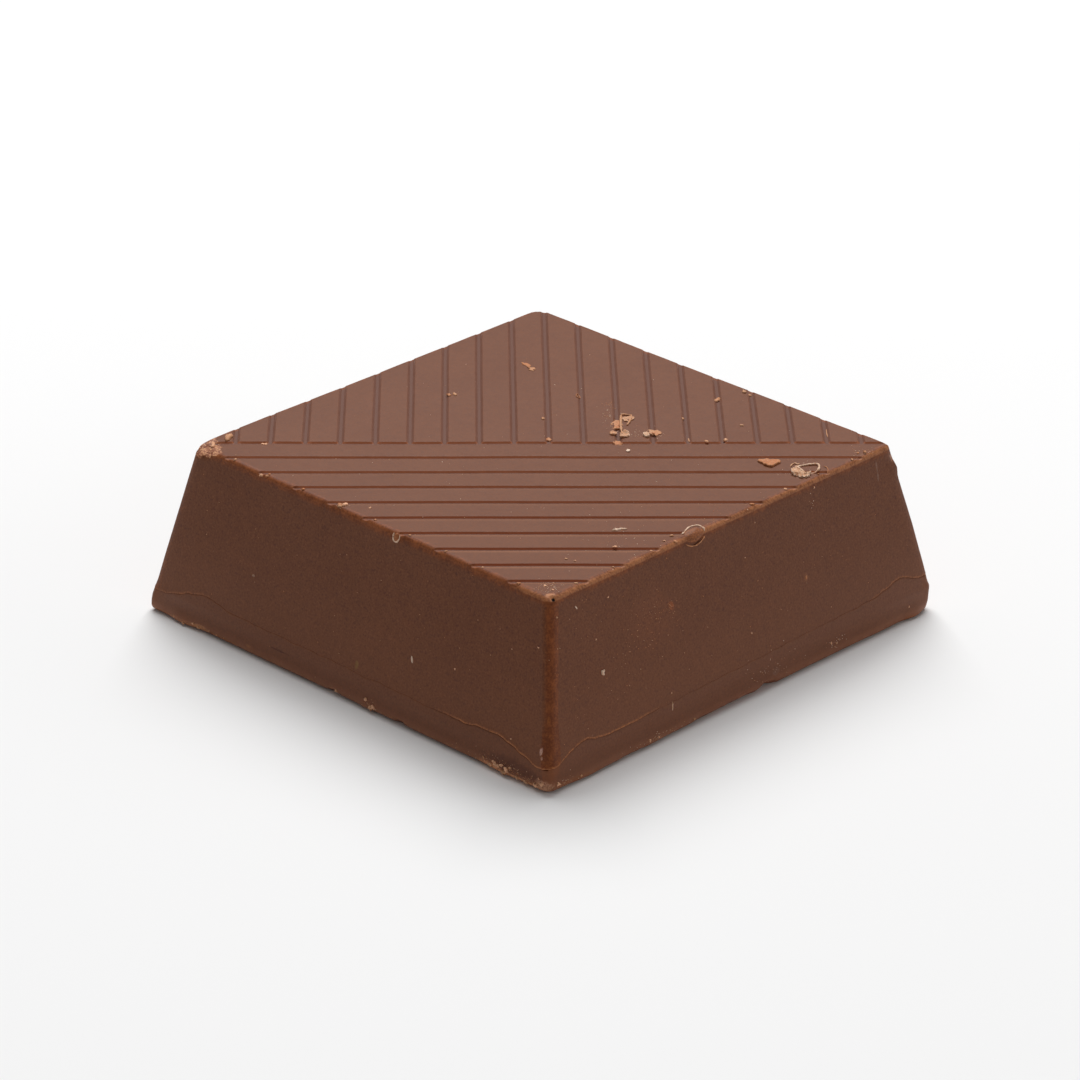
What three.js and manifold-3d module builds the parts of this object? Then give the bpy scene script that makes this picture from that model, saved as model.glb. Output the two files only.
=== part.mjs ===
// A moulded chocolate bonbon: a low square frustum whose top is cut by fine grooves that run one way
// on one side of a diagonal and across it on the other side. A thin layer of chocolate closes its base.
// Millimetres, +Z up. The origin is the centre of the flat base, and the square's sides lie along X and Y.
// The diagonal frame (u, v) is used for the grooves: u points to the (+X, +Y) corner and v to (-X, +Y).

import * as THREE from 'three';
import { mergeVertices } from 'three/addons/utils/BufferGeometryUtils.js';
import Module from 'manifold-3d';

// Overall form
const BASE_SIDE = 30;
const TOP_SIDE = 26.36;
const HEIGHT = 9.85;
const FOOT_HEIGHT = 1.45; // the wall is upright below this height and drafted above it
const RIM_RADIUS = 0.3; // between the walls and the top
const BASE_EDGE_RADIUS = 0.35; // between the walls and the flat underneath
const EDGE_RADII = [0.4, 0.4, 0.95, 0.4]; // the upright corners +X-Y, +X+Y, -X+Y and -X-Y, above the foot
const FOOT_EDGE_RADII = [0.6, 0.55, 0.95, 0.16]; // the same corners at the base

// Grooves of the top
const GROOVE_PITCH = 1.8635;
const GROOVE_WIDTH = 0.42;
const GROOVE_DEPTH = 0.12;
const ACROSS_GROOVES = 10; // along u, from the diagonal to the +X-Y corner
const FIRST_ACROSS_EDGE = 0.34; // v of the far side of the first one
const LENGTHWISE_EACH_SIDE = 9; // along v, to each side of the middle one
const MIDDLE_LENGTHWISE = 0.295; // u of the middle one

// Seam between the moulded body and the base layer, at both ends of each wall: +X, +Y, -X and -Y, each
// counter-clockwise. crest is a rise at crestAt from the corner, and dip is a fall at the corner itself.
const SEAM_LEVEL = 1.95; // in the middle of the piece
const LOWEST_SEAM = 1.5; // it stays above the foot
const CREST_REACH = 1.3;
const SEAM_ENDS = [
  {
    start: { level: 1.75, crest: 0.32, crestAt: 2.3, dip: 0.38, dipReach: 1.1 },
    end: { level: 2.3, crest: 0.38, crestAt: 2.25, dip: 0.2, dipReach: 1.1 },
  },
  {
    start: { level: 2.3, crest: 0.3, crestAt: 2.5, dip: 0.2, dipReach: 1.2 },
    end: { level: 1.95, crest: 0.3, crestAt: 3.5, dip: 0.45, dipReach: 2.1 },
  },
  {
    start: { level: 1.95, crest: 0.25, crestAt: 3.2, dip: 0.45, dipReach: 1.9 },
    end: { level: 1.95, crest: 0.2, crestAt: 3.6, dip: 0.65, dipReach: 1.9 },
  },
  {
    start: { level: 1.95, crest: 0.3, crestAt: 4, dip: 0.65, dipReach: 2.1 },
    end: { level: 1.9, crest: 0.18, crestAt: 3.7, dip: 0.6, dipReach: 1.7 },
  },
];

// Wear: a corner knocked off, a dent under another corner, a pinhole, and chips out of the base edge
const CORNER_CHIP = { sideways: 1.55, alongFront: 2.2, down: 0.7 };
const CORNER_DENT = { u: 18.85, v: -0.15, z: 9.09, radius: 0.3 };
const PINHOLE = { u: 0.19, v: -18.42, radius: 0.1, depth: 0.5 };
const CHIP_THICKNESS = 1; // of the round bites below, most of which lies outside the edge
const BASE_CHIPS = [
  { wall: 3, along: -0.85, reach: 0.5, bite: 0.12 },
  { wall: 3, along: 4.2, reach: 0.45, bite: 0.12 },
  { wall: 0, along: -1.1, reach: 2.9, bite: 0.1 },
  { wall: 0, along: 1.65, reach: 0.75, bite: 0.22 },
];

// Stuck on: a bump under the dent, drops of chocolate on the rim and thin flakes that lie on the top
const RIM_DROPS = [
  { x: 13.12, y: 13.06, z: 8.4, lengthX: 0.5, lengthY: 0.5, thick: 0.33 },
  { x: 12.98, y: -2.42, z: 9.58, lengthX: 0.45, lengthY: 0.78, thick: 0.36 },
  { x: 2.39, y: -13.22, z: 9.51, lengthX: 0.27, lengthY: 0.16, thick: 0.31 },
];
const FLAKES = [
  { u: 11.88, v: -2.4, lengthU: 1.25, lengthV: 0.85, thick: 0.14, turn: -4 },
  { u: 13.1, v: -3.7, lengthU: 0.9, lengthV: 0.6, thick: 0.16, turn: 8 },
  { u: 14.3, v: -3.0, lengthU: 1.0, lengthV: 1.1, thick: 0.08, turn: 10 },
  { u: 4.0, v: 2.7, lengthU: 0.45, lengthV: 1.2, thick: 0.16, turn: 8 },
  { u: 4.55, v: 3.2, lengthU: 0.5, lengthV: 1.9, thick: 0.07, turn: -10 },
  { u: 4.4, v: 1.3, lengthU: 0.5, lengthV: 0.75, thick: 0.14, turn: 0 },
  { u: 3.94, v: 0.25, lengthU: 0.45, lengthV: 0.7, thick: 0.12, turn: -20 },
  { u: 5.74, v: 1.3, lengthU: 0.5, lengthV: 0.7, thick: 0.12, turn: 30 },
];

// How finely the outline and the round edges are cut up
const SMALLEST_RADIUS = 0.12; // of an upright corner where the rim or the base edge draws it in
const CORNER_STEPS = 4;
const ROUND_STEPS = 4;
const PINHOLE_SIDES = 10;
const WALL_MARKS = [1.1, 1.6, 2.2, 2.9, 3.7, 4.6, 5.7, 7.2, 9.6, 12.6]; // from each corner of the base
const PATCH_RINGS = [0, 0.8, 0.9, 1]; // the seam surface, as shares of the way out to the wall
const PATCH_WAVE = [0, 0, 0.35, 1]; // how much of the seam's wave each of those rings has

const HALF_BASE = BASE_SIDE / 2;
const HALF_TOP = TOP_SIDE / 2;
const WALL_SLOPE = (HALF_BASE - HALF_TOP) / (HEIGHT - FOOT_HEIGHT);
const DRAFT = Math.atan(WALL_SLOPE);
const DIAGONAL_TURN = Math.PI / 4;
const TOP_HALF_DIAGONAL = HALF_TOP * Math.SQRT2;

const MERGE_DISTANCE = 1e-4;

const wasm = await Module();
wasm.setup();

// Solid of a closed geometry, for joining and cutting.
function toSolid(geometry) {
  const bare = geometry.clone();
  for (const name of Object.keys(bare.attributes)) {
    if (name !== 'position') bare.deleteAttribute(name);
  }
  const merged = mergeVertices(bare, MERGE_DISTANCE);
  const corners = merged.index.array;
  const kept = [];
  for (let i = 0; i < corners.length; i += 3) {
    const [a, b, c] = [corners[i], corners[i + 1], corners[i + 2]];
    if (a !== b && b !== c && c !== a) kept.push(a, b, c);
  }
  const vertProperties = new Float32Array(merged.attributes.position.array);
  return new wasm.Manifold(new wasm.Mesh({ numProp: 3, vertProperties, triVerts: new Uint32Array(kept) }));
}

// Geometry of a solid, with flat facets.
function toGeometry(solid) {
  const mesh = solid.getMesh();
  const geometry = new THREE.BufferGeometry();
  geometry.setAttribute('position', new THREE.BufferAttribute(new Float32Array(mesh.vertProperties), 3));
  geometry.setIndex(new THREE.BufferAttribute(new Uint32Array(mesh.triVerts), 1));
  geometry.computeVertexNormals();
  return geometry;
}

// Half the side of the square at height z.
function halfSide(z) {
  return Math.min(HALF_BASE, HALF_TOP + WALL_SLOPE * (HEIGHT - z));
}

// Radii of the four upright corners at height z: they grow towards the base, below the foot's top.
function cornerRadii(z) {
  const low = THREE.MathUtils.clamp((FOOT_HEIGHT - z) / (FOOT_HEIGHT - BASE_EDGE_RADIUS), 0, 1);
  return FOOT_EDGE_RADII.map((radius, i) => THREE.MathUtils.lerp(EDGE_RADII[i], radius, low));
}

// Height of the seam on a wall, at a distance from the corner where the wall starts.
function seamHeight(wall, fromStart) {
  const { start, end } = SEAM_ENDS[wall];
  let height = THREE.MathUtils.lerp(start.level, end.level, fromStart / BASE_SIDE);
  for (const [corner, distance] of [[start, fromStart], [end, BASE_SIDE - fromStart]]) {
    height += corner.crest * Math.exp(-(((distance - corner.crestAt) / CREST_REACH) ** 2));
    height -= corner.dip * Math.exp(-((distance / corner.dipReach) ** 2));
  }
  return Math.max(height, LOWEST_SEAM);
}

// The square outline with round corners, drawn in by inset, counter-clockwise from the +X-Y corner.
// Each point also knows how high the seam is there.
function outline(half, radii, inset = 0) {
  const points = [];
  for (let corner = 0; corner < 4; corner += 1) {
    const turn = -Math.PI / 4 + (corner * Math.PI) / 2;
    const out = half - inset;
    const radius = Math.max(radii[corner] - inset, SMALLEST_RADIUS);
    const signX = Math.sign(Math.cos(turn));
    const signY = Math.sign(Math.sin(turn));
    for (let step = 0; step <= CORNER_STEPS; step += 1) {
      const angle = turn + (step / CORNER_STEPS - 0.5) * (Math.PI / 2);
      const x = signX * (out - radius) + radius * Math.cos(angle);
      const y = signY * (out - radius) + radius * Math.sin(angle);
      points.push({ x, y, seam: seamHeight(corner, 0) });
    }
    const along = turn + (3 * Math.PI) / 4;
    for (const mark of [...WALL_MARKS, ...WALL_MARKS.map((fromEnd) => BASE_SIDE - fromEnd).reverse()]) {
      const share = mark / BASE_SIDE;
      const x = signX * out + Math.cos(along) * 2 * out * share;
      const y = signY * out + Math.sin(along) * 2 * out * share;
      points.push({ x, y, seam: seamHeight(corner, mark) });
    }
  }
  return points;
}

// The seam's line round the walls.
function seamLine() {
  const flat = outline(HALF_BASE, cornerRadii(FOOT_HEIGHT));
  return flat.map(({ seam: z }, index) => {
    const here = outline(halfSide(z), cornerRadii(z))[index];
    return new THREE.Vector3(here.x, here.y, z);
  });
}

// One ring at a single height.
function levelRing(half, z, inset = 0) {
  return outline(half, cornerRadii(z), inset).map(({ x, y }) => new THREE.Vector3(x, y, z));
}

// The surface in which the body and the base layer meet, as rings from the middle out to the wall.
function seamRings(seam) {
  return PATCH_RINGS.map((share, ring) =>
    seam.map((point) => {
      const z = SEAM_LEVEL + (point.z - SEAM_LEVEL) * PATCH_WAVE[ring];
      return new THREE.Vector3(point.x * share, point.y * share, z);
    }),
  );
}

// The round top rim, from the wall up to the flat.
function rimRings() {
  const centreZ = HEIGHT - RIM_RADIUS;
  const rings = [];
  for (let step = 0; step <= ROUND_STEPS; step += 1) {
    const angle = THREE.MathUtils.lerp(DRAFT, Math.PI / 2, step / ROUND_STEPS);
    const z = centreZ + RIM_RADIUS * Math.sin(angle);
    const inset = RIM_RADIUS / Math.cos(DRAFT) - RIM_RADIUS * Math.cos(angle);
    rings.push(levelRing(halfSide(centreZ), z, inset));
  }
  return rings;
}

// The round bottom edge, from the flat up to the foot's wall.
function baseEdgeRings() {
  const rings = [];
  for (let step = 0; step <= ROUND_STEPS; step += 1) {
    const angle = (Math.PI / 2) * (1 - step / ROUND_STEPS);
    const z = BASE_EDGE_RADIUS * (1 - Math.sin(angle));
    rings.push(levelRing(HALF_BASE, z, BASE_EDGE_RADIUS * (1 - Math.cos(angle))));
  }
  return rings;
}

// A ring drawn together to one point on the axis.
function pole(ring, z) {
  return ring.map(() => new THREE.Vector3(0, 0, z));
}

// A closed skin over rings that go from the lower pole, out and up, to the upper pole. Each four-sided
// patch is split on one diagonal, and from ring crossed on, where the rings run back in, on the other:
// so two skins that share rings, in opposite orders, share their triangles too.
function skin(rings, crossed = rings.length) {
  const around = rings[0].length;
  const geometry = new THREE.BufferGeometry().setFromPoints(rings.flat());
  const faces = [];
  for (let ring = 0; ring < rings.length - 1; ring += 1) {
    for (let j = 0; j < around; j += 1) {
      const a = ring * around + j;
      const b = ring * around + ((j + 1) % around);
      const c = b + around;
      const d = a + around;
      if (ring < crossed) faces.push(a, b, d, b, c, d);
      else faces.push(a, b, c, a, c, d);
    }
  }
  geometry.setIndex(faces);
  return geometry;
}

// A box of the given sizes along u, v and z, with its middle at (u, v, z).
function diagonalBox(lengthU, lengthV, lengthZ, u, v, z) {
  const box = new THREE.BoxGeometry(lengthU, lengthV, lengthZ);
  box.translate(u, v, z);
  box.rotateZ(DIAGONAL_TURN);
  return toSolid(box);
}

// A squashed ball with few faces, at a place in the diagonal frame.
function diagonalLump({ u, v, lengthU, lengthV, thick, turn }) {
  const lump = new THREE.IcosahedronGeometry(1, 1);
  lump.scale(lengthU / 2, lengthV / 2, thick);
  lump.rotateZ(THREE.MathUtils.degToRad(turn));
  lump.translate(u, v, HEIGHT);
  lump.rotateZ(DIAGONAL_TURN);
  return toSolid(lump);
}

// A drop of chocolate that has set on the rim, or the bump under the dent.
function rimDrop({ x, y, z, lengthX, lengthY, thick }) {
  const drop = new THREE.IcosahedronGeometry(1, 2);
  drop.scale(lengthX, lengthY, thick);
  drop.translate(x, y, z);
  return toSolid(drop);
}

// Grooves across the front half, from rim to rim along u.
function acrossGrooves() {
  const cutters = [];
  const length = 2 * TOP_HALF_DIAGONAL;
  for (let k = 0; k < ACROSS_GROOVES; k += 1) {
    const v = FIRST_ACROSS_EDGE - k * GROOVE_PITCH - GROOVE_WIDTH / 2;
    cutters.push(diagonalBox(length, GROOVE_WIDTH, 2 * GROOVE_DEPTH, 0, v, HEIGHT));
  }
  return cutters;
}

// Grooves along v over the back half, from the first across groove out over the rims.
function lengthwiseGrooves() {
  const cutters = [];
  const start = FIRST_ACROSS_EDGE - GROOVE_WIDTH / 2;
  const length = TOP_HALF_DIAGONAL - start;
  for (let k = -LENGTHWISE_EACH_SIDE; k <= LENGTHWISE_EACH_SIDE; k += 1) {
    const u = MIDDLE_LENGTHWISE + k * GROOVE_PITCH;
    cutters.push(diagonalBox(GROOVE_WIDTH, length, 2 * GROOVE_DEPTH, u, start + length / 2, HEIGHT));
  }
  return cutters;
}

// The corner knocked off at (-X, -Y): what lies beyond the plane through three points of its edges.
function cornerChip() {
  const { sideways, alongFront, down } = CORNER_CHIP;
  const half = halfSide(HEIGHT - down);
  const low = new THREE.Vector3(-half, -half, HEIGHT - down);
  const front = new THREE.Vector3(-HALF_TOP + alongFront, -HALF_TOP, HEIGHT);
  const side = new THREE.Vector3(-HALF_TOP, -HALF_TOP + sideways, HEIGHT);
  const plane = new THREE.Plane().setFromCoplanarPoints(low, front, side);
  if (plane.normal.z < 0) plane.negate();
  const middle = new THREE.Vector3().add(low).add(front).add(side).divideScalar(3);
  const size = 2 * alongFront;
  const box = new THREE.BoxGeometry(size, size, size);
  box.translate(0, 0, size / 2);
  box.applyQuaternion(new THREE.Quaternion().setFromUnitVectors(new THREE.Vector3(0, 0, 1), plane.normal));
  box.translate(middle.x, middle.y, middle.z);
  return toSolid(box);
}

// The dent in the upright edge under the (+X, +Y) corner of the rim.
function cornerDent() {
  const { u, v, z, radius } = CORNER_DENT;
  const ball = new THREE.IcosahedronGeometry(radius, 2);
  ball.translate(u, v, z);
  ball.rotateZ(DIAGONAL_TURN);
  return toSolid(ball);
}

// The pinhole left by an air bubble at the (+X, -Y) corner of the rim.
function pinhole() {
  const { u, v, radius, depth } = PINHOLE;
  const hole = new THREE.CylinderGeometry(radius, radius, 2 * depth, PINHOLE_SIDES);
  hole.rotateX(Math.PI / 2);
  hole.translate(u, v, HEIGHT);
  hole.rotateZ(DIAGONAL_TURN);
  return toSolid(hole);
}

// A chip out of the bottom edge: a long round bite whose middle stands just outside the edge.
function baseChip({ wall, along, reach, bite }) {
  const radius = CHIP_THICKNESS / 2;
  const edge = BASE_EDGE_RADIUS * (1 - Math.SQRT1_2); // how far the round edge draws in and up, at its middle
  const away = (radius - bite) * Math.SQRT1_2;
  const bitten = new THREE.IcosahedronGeometry(1, 2);
  bitten.scale(radius, reach, radius);
  bitten.translate(HALF_BASE - edge + away, along, edge - away);
  bitten.rotateZ((wall * Math.PI) / 2);
  return toSolid(bitten);
}

// The moulded body: everything above the seam, with its grooves and its wear.
function mouldedBody(seam) {
  const rings = [...seamRings(seam), ...rimRings()];
  rings.push(pole(rings[0], HEIGHT));
  let solid = toSolid(skin(rings));
  const cutters = [...acrossGrooves(), ...lengthwiseGrooves(), cornerChip(), cornerDent(), pinhole()];
  solid = solid.subtract(wasm.Manifold.union(cutters));
  const lumps = [...RIM_DROPS.map(rimDrop), ...FLAKES.map(diagonalLump)];
  return toGeometry(solid.add(wasm.Manifold.union(lumps)));
}

// The base layer: everything below the seam, down to the flat underneath.
function baseLayer(seam) {
  const edge = baseEdgeRings();
  const foot = levelRing(HALF_BASE, FOOT_HEIGHT);
  const below = [pole(edge[0], 0), ...edge, foot];
  const solid = toSolid(skin([...below, ...seamRings(seam).reverse()], below.length));
  return toGeometry(solid.subtract(wasm.Manifold.union(BASE_CHIPS.map(baseChip))));
}

const chocolate = new THREE.MeshStandardMaterial({ color: '#6b4436', roughness: 0.5, metalness: 0 });
const darkerChocolate = new THREE.MeshStandardMaterial({ color: '#5c3a2d', roughness: 0.6, metalness: 0 });

const bonbon = new THREE.Group();
const seam = seamLine();

const body = new THREE.Mesh(mouldedBody(seam), chocolate);
body.name = 'moulded_body';
bonbon.add(body);

const base = new THREE.Mesh(baseLayer(seam), darkerChocolate);
base.name = 'base_layer';
bonbon.add(base);

export default bonbon;
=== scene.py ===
import math

import bmesh
import bpy
import numpy as np
from mathutils import Matrix, Vector
from mathutils.bvhtree import BVHTree


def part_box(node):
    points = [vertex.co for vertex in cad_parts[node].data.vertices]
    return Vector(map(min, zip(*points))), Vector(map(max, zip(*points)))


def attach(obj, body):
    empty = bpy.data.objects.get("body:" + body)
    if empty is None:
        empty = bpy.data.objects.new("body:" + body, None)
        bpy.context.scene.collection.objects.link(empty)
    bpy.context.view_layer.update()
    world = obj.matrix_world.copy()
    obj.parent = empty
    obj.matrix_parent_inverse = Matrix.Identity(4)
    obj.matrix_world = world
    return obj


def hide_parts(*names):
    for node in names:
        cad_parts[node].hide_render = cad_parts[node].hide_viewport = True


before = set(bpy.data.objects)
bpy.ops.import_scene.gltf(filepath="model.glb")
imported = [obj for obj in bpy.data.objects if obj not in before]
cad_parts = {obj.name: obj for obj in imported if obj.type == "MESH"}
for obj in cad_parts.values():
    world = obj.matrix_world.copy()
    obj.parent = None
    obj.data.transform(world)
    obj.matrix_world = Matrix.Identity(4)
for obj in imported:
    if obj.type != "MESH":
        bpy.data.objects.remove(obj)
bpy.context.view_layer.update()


# ---- Moulded body -------------------------------------------------------------------------------
# The body is milk chocolate cast upside down in a mould, which gives it its drafted walls, its round
# rims and the fine grooves of its top. The grooves run across the front half and lengthwise over the
# back half. Handling has knocked off one corner of the rim and rubbed the other edges.
# The rims and upright edges are painted a redder brown: partly rubbed chocolate, partly painted shading where
# they lack the flat faces' sheen.

MM = 0.001  # sizes are in millimetres, and become metres where a mesh is made
HALF_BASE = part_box("base_layer")[1][0] / MM
HALF_TOP = 13.18
HEIGHT = 9.85
FOOT_HEIGHT = 1.45  # the wall is upright below this height and drafted above it
RIM_RADIUS = 0.3
EDGE_RADII = np.array([0.4, 0.4, 0.95, 0.4])  # of the +X-Y, +X+Y, -X+Y and -X-Y corners, above the foot
FOOT_EDGE_RADII = np.array([0.6, 0.65, 0.95, 0.2])  # of the same corners, at the base
BASE_EDGE_RADIUS = 0.35
SMALLEST_RADIUS = 0.12

GROOVE_PITCH = 1.8635
GROOVE_WIDTH = 0.42
GROOVE_DEPTH = 0.12
GROOVE_WALL = 0.13  # how wide each sloping side of a groove is
ACROSS_GROOVES = 10
FIRST_ACROSS_EDGE = 0.34
LENGTHWISE_EACH_SIDE = 9
MIDDLE_LENGTHWISE = 0.295

SEAM_LEVEL = 1.95  # in the middle of the piece
SEAM_ENDS = np.array([  # level, crest, its place, dip and its reach, at both ends of each wall
    [[1.75, 0.32, 2.3, 0.38, 1.1], [2.3, 0.38, 2.25, 0.2, 1.1]],
    [[2.3, 0.3, 2.5, 0.2, 1.2], [1.95, 0.3, 3.5, 0.45, 2.1]],
    [[1.95, 0.25, 3.2, 0.45, 1.9], [1.95, 0.2, 3.6, 0.65, 1.9]],
    [[1.95, 0.3, 4.0, 0.65, 2.1], [1.9, 0.18, 3.7, 0.6, 1.7]],
])
LOWEST_SEAM = 1.32
CREST_REACH = 1.3
SEAM_TREMBLE = 0.035  # of the poured chocolate's edge, within a millimetre or so
SEAM_CRUMBLE = 0.014  # the same, within half a millimetre
SEAM_FADES = np.array([  # it fades out between these distances from each corner
    [5.0, 8.5], [3.2, 5.0], [2.5, 4.0], [3.0, 4.6],
])
SEAM_PLAIN = np.array([1.0, 0.25, 0.4, 0.16])  # how plainly it shows at each corner
SEAM_LIP = 0.016  # how far the body's lower edge stands out over the base layer

CORNER_CHIP = {"sideways": 1.55, "along_front": 2.2, "down": 0.7}
CHIP_BULGE = 0.2
CORNER_DENT = {"u": 18.85, "v": -0.15, "z": 9.09, "radius": 0.3}
CORNER_BUMP = {"out": 0.13, "z": 8.5, "tall": 0.33, "reach": 0.5}
PINHOLE = {"u": 0.2, "v": -18.35, "radius": 0.1, "depth": 0.22}

WALL_SLOPE = (HALF_BASE - HALF_TOP) / (HEIGHT - FOOT_HEIGHT)
DRAFT = math.atan(WALL_SLOPE)
RIM_CENTRE = HEIGHT - RIM_RADIUS
ARC_SHARE = 0.1  # of the stations of a side, for half of the round corner at each of its ends


def smoothstep(x):
    x = np.clip(x, 0.0, 1.0)
    return x * x * (3 - 2 * x)


def bell(x):
    """1 at 0, falling away on both sides."""
    return np.exp(-(x ** 2))


def half_side(z):
    return np.minimum(HALF_BASE, HALF_TOP + WALL_SLOPE * (HEIGHT - z))


def corner_radii(z):
    low = np.clip((FOOT_HEIGHT - np.asarray(z)) / (FOOT_HEIGHT - BASE_EDGE_RADIUS), 0, 1)
    return EDGE_RADII + (FOOT_EDGE_RADII - EDGE_RADII) * low[..., None]


def to_xy(u, v):
    """From the diagonal frame, where u points to the +X+Y corner and v to the -X+Y corner."""
    return (u - v) / math.sqrt(2), (u + v) / math.sqrt(2)


def to_uv(x, y):
    return (x + y) / math.sqrt(2), (y - x) / math.sqrt(2)


def arc_point(corner, half, radius, turn):
    """On a round corner of the outline, turned away from the corner's diagonal."""
    diagonal = (corner * 0.5 - 0.25) * math.pi
    x = np.sign(np.cos(diagonal)) * (half - radius) + radius * np.cos(diagonal + turn)
    y = np.sign(np.sin(diagonal)) * (half - radius) + radius * np.sin(diagonal + turn)
    return np.array([x, y])


def outline(station, half, radii):
    """x and y on a square with round corners. Station 0 is the tip of the +X-Y corner, which is the front
    one, and 1, 2 and 3 are the tips of the next ones, counter-clockwise."""
    station = np.asarray(station) % 4
    corner = np.floor(station).astype(int)
    share = station - corner
    following = (corner + 1) % 4
    radii = np.broadcast_to(radii, (*station.shape, 4))
    radius = np.take_along_axis(radii, corner[..., None], -1)[..., 0]
    leave = arc_point(corner, half, radius, math.pi / 4 * np.clip(share / ARC_SHARE, 0, 1))
    turn = -math.pi / 4 * np.clip((1 - share) / ARC_SHARE, 0, 1)
    radius = np.take_along_axis(radii, following[..., None], -1)[..., 0]
    arrive = arc_point(following, half, radius, turn)
    return leave + (arrive - leave) * np.clip((share - ARC_SHARE) / (1 - 2 * ARC_SHARE), 0, 1)


def seam_height(station):
    """Height of the seam on the wall, and how plainly it shows there."""
    x, y = outline(station, HALF_BASE, np.full(4, SMALLEST_RADIUS))
    wall = np.floor(station).astype(int) % 4
    along = HALF_BASE + y * np.cos(wall * math.pi / 2) - x * np.sin(wall * math.pi / 2)
    start, end = SEAM_ENDS[wall, 0].T, SEAM_ENDS[wall, 1].T
    height = start[0] + (end[0] - start[0]) * along / (2 * HALF_BASE)
    for distance, (_, crest, crest_at, dip, reach) in ((along, start), (2 * HALF_BASE - along, end)):
        height = height + crest * bell((distance - crest_at) / CREST_REACH) - dip * bell(distance / reach)
    corner = np.round(station).astype(int) % 4
    near, far = SEAM_FADES[corner].T
    shown = smoothstep((far - np.minimum(along, 2 * HALF_BASE - along)) / (far - near)) * SEAM_PLAIN[corner]
    edge = np.stack([x, y, 0 * x], axis=-1)
    tremble = SEAM_TREMBLE * ripple(edge, 1.3, 5) + SEAM_CRUMBLE * ripple(edge, 0.5, 6)
    return np.maximum(height + tremble, LOWEST_SEAM), shown


def ripple(points, length, seed, waves=16):
    """Smooth unevenness of about -1 to 1 with that wave length, from crossing waves."""
    random = np.random.default_rng(seed)
    ways = random.normal(size=(waves, 3))
    ways *= (2 * math.pi / length * random.uniform(0.6, 1.6, waves) / np.linalg.norm(ways, axis=1))[:, None]
    phases = random.uniform(0, 2 * math.pi, waves)
    return sum(np.sin(points @ way + phase) for way, phase in zip(ways, phases)) / math.sqrt(waves)


def groove_profile(from_middle):
    """Share of the groove's depth, from the distance to its middle line."""
    return smoothstep((GROOVE_WIDTH / 2 - np.abs(from_middle)) / GROOVE_WALL)


def groove_share(u, v):
    """Share of the groove depth at each point of the top."""
    first = FIRST_ACROSS_EDGE - GROOVE_WIDTH / 2
    number = np.clip(np.round((first - v) / GROOVE_PITCH), 0, ACROSS_GROOVES - 1)
    across = groove_profile(v - first + number * GROOVE_PITCH)
    limit = LENGTHWISE_EACH_SIDE
    number = np.clip(np.round((u - MIDDLE_LENGTHWISE) / GROOVE_PITCH), -limit, limit)
    lengthwise = groove_profile(u - MIDDLE_LENGTHWISE - number * GROOVE_PITCH)
    return np.where(v > first, np.maximum(across, lengthwise), across)


LIP_WIDTH = 0.035  # of the painted highlight on the upper edge of the near side of each across groove
SIDE_LINES = 6  # mesh lines over each side of a groove
SIDE_MARGIN = 0.03  # how far these go out over the land
LAND_LINES = 5


def groove_lip(v):
    """1 on the upper edge of each across groove's near side, where a highlight is painted, and 0 elsewhere.
    """
    near_edge = FIRST_ACROSS_EDGE - GROOVE_WIDTH
    number = np.clip(np.round((near_edge - v) / GROOVE_PITCH), 1, ACROSS_GROOVES - 1)
    return bell((v - near_edge + 0.01 + number * GROOVE_PITCH) / LIP_WIDTH)


def groove_lines(middles):
    """Places of the mesh lines: close together on both sides of each groove, and wide on the lands."""
    sides = GROOVE_WIDTH / 2 + SIDE_MARGIN - np.linspace(0, GROOVE_WALL + 0.05, SIDE_LINES)
    half_land = (GROOVE_PITCH - GROOVE_WIDTH) / 2 - SIDE_MARGIN
    lines = list(middles)
    for middle in middles:
        lines += [*(middle + sides), *(middle - sides)]
    for one, other in zip(middles, middles[1:]):
        lines += list((one + other) / 2 + np.linspace(-half_land, half_land, LAND_LINES + 2)[1:-1])
    return lines


def rim_rings(steps=8):
    """Half side, corner radii and height of the rings of the round rim, from the flat top down."""
    rings = []
    for angle in np.linspace(math.pi / 2, DRAFT, steps + 1):
        inset = RIM_RADIUS / math.cos(DRAFT) - RIM_RADIUS * math.cos(angle)
        radii = np.clip(EDGE_RADII - inset, SMALLEST_RADIUS, None)
        rings.append((half_side(RIM_CENTRE) - inset, radii, RIM_CENTRE + RIM_RADIUS * math.sin(angle)))
    return rings


def station_of_v(ring, v):
    """Station on the right-hand half of a ring of the rim, where v has that value."""
    stations = np.linspace(0, 2, 16001)
    return np.interp(v, to_uv(*outline(stations, *ring[:2]))[1], stations)


def station_of_u(ring, u):
    """Station on the back half of a ring of the rim, where u has that value."""
    stations = np.linspace(3, 1, 16001)
    return np.interp(u, to_uv(*outline(stations, *ring[:2]))[0], stations)


RIM = rim_rings()
FAN_LINES = {"front": 26, "left": 13, "right": 8}  # mesh lines over the three tips, past the last grooves
MEETING_ROW = FIRST_ACROSS_EDGE + 0.06  # v of the mesh line that the two halves of the top share
MEETING_REACH = to_uv(*outline(station_of_v(RIM[0], MEETING_ROW), *RIM[0][:2]))[0]
FRONT_TIP = to_uv(*outline(0, *RIM[0][:2]))[1]
GROOVES_END = (-16.95, 17.35)  # v and u beyond which no groove reaches a rim


def top_rows():
    """v of the mesh lines of the front half, from the meeting row to the front tip."""
    first = FIRST_ACROSS_EDGE - GROOVE_WIDTH / 2
    rows = groove_lines([first - k * GROOVE_PITCH for k in range(ACROSS_GROOVES)])
    rows += [MEETING_ROW, *np.linspace(FRONT_TIP, min(rows), FAN_LINES["front"])[:-1]]
    return np.array(sorted(rows, reverse=True))


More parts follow.
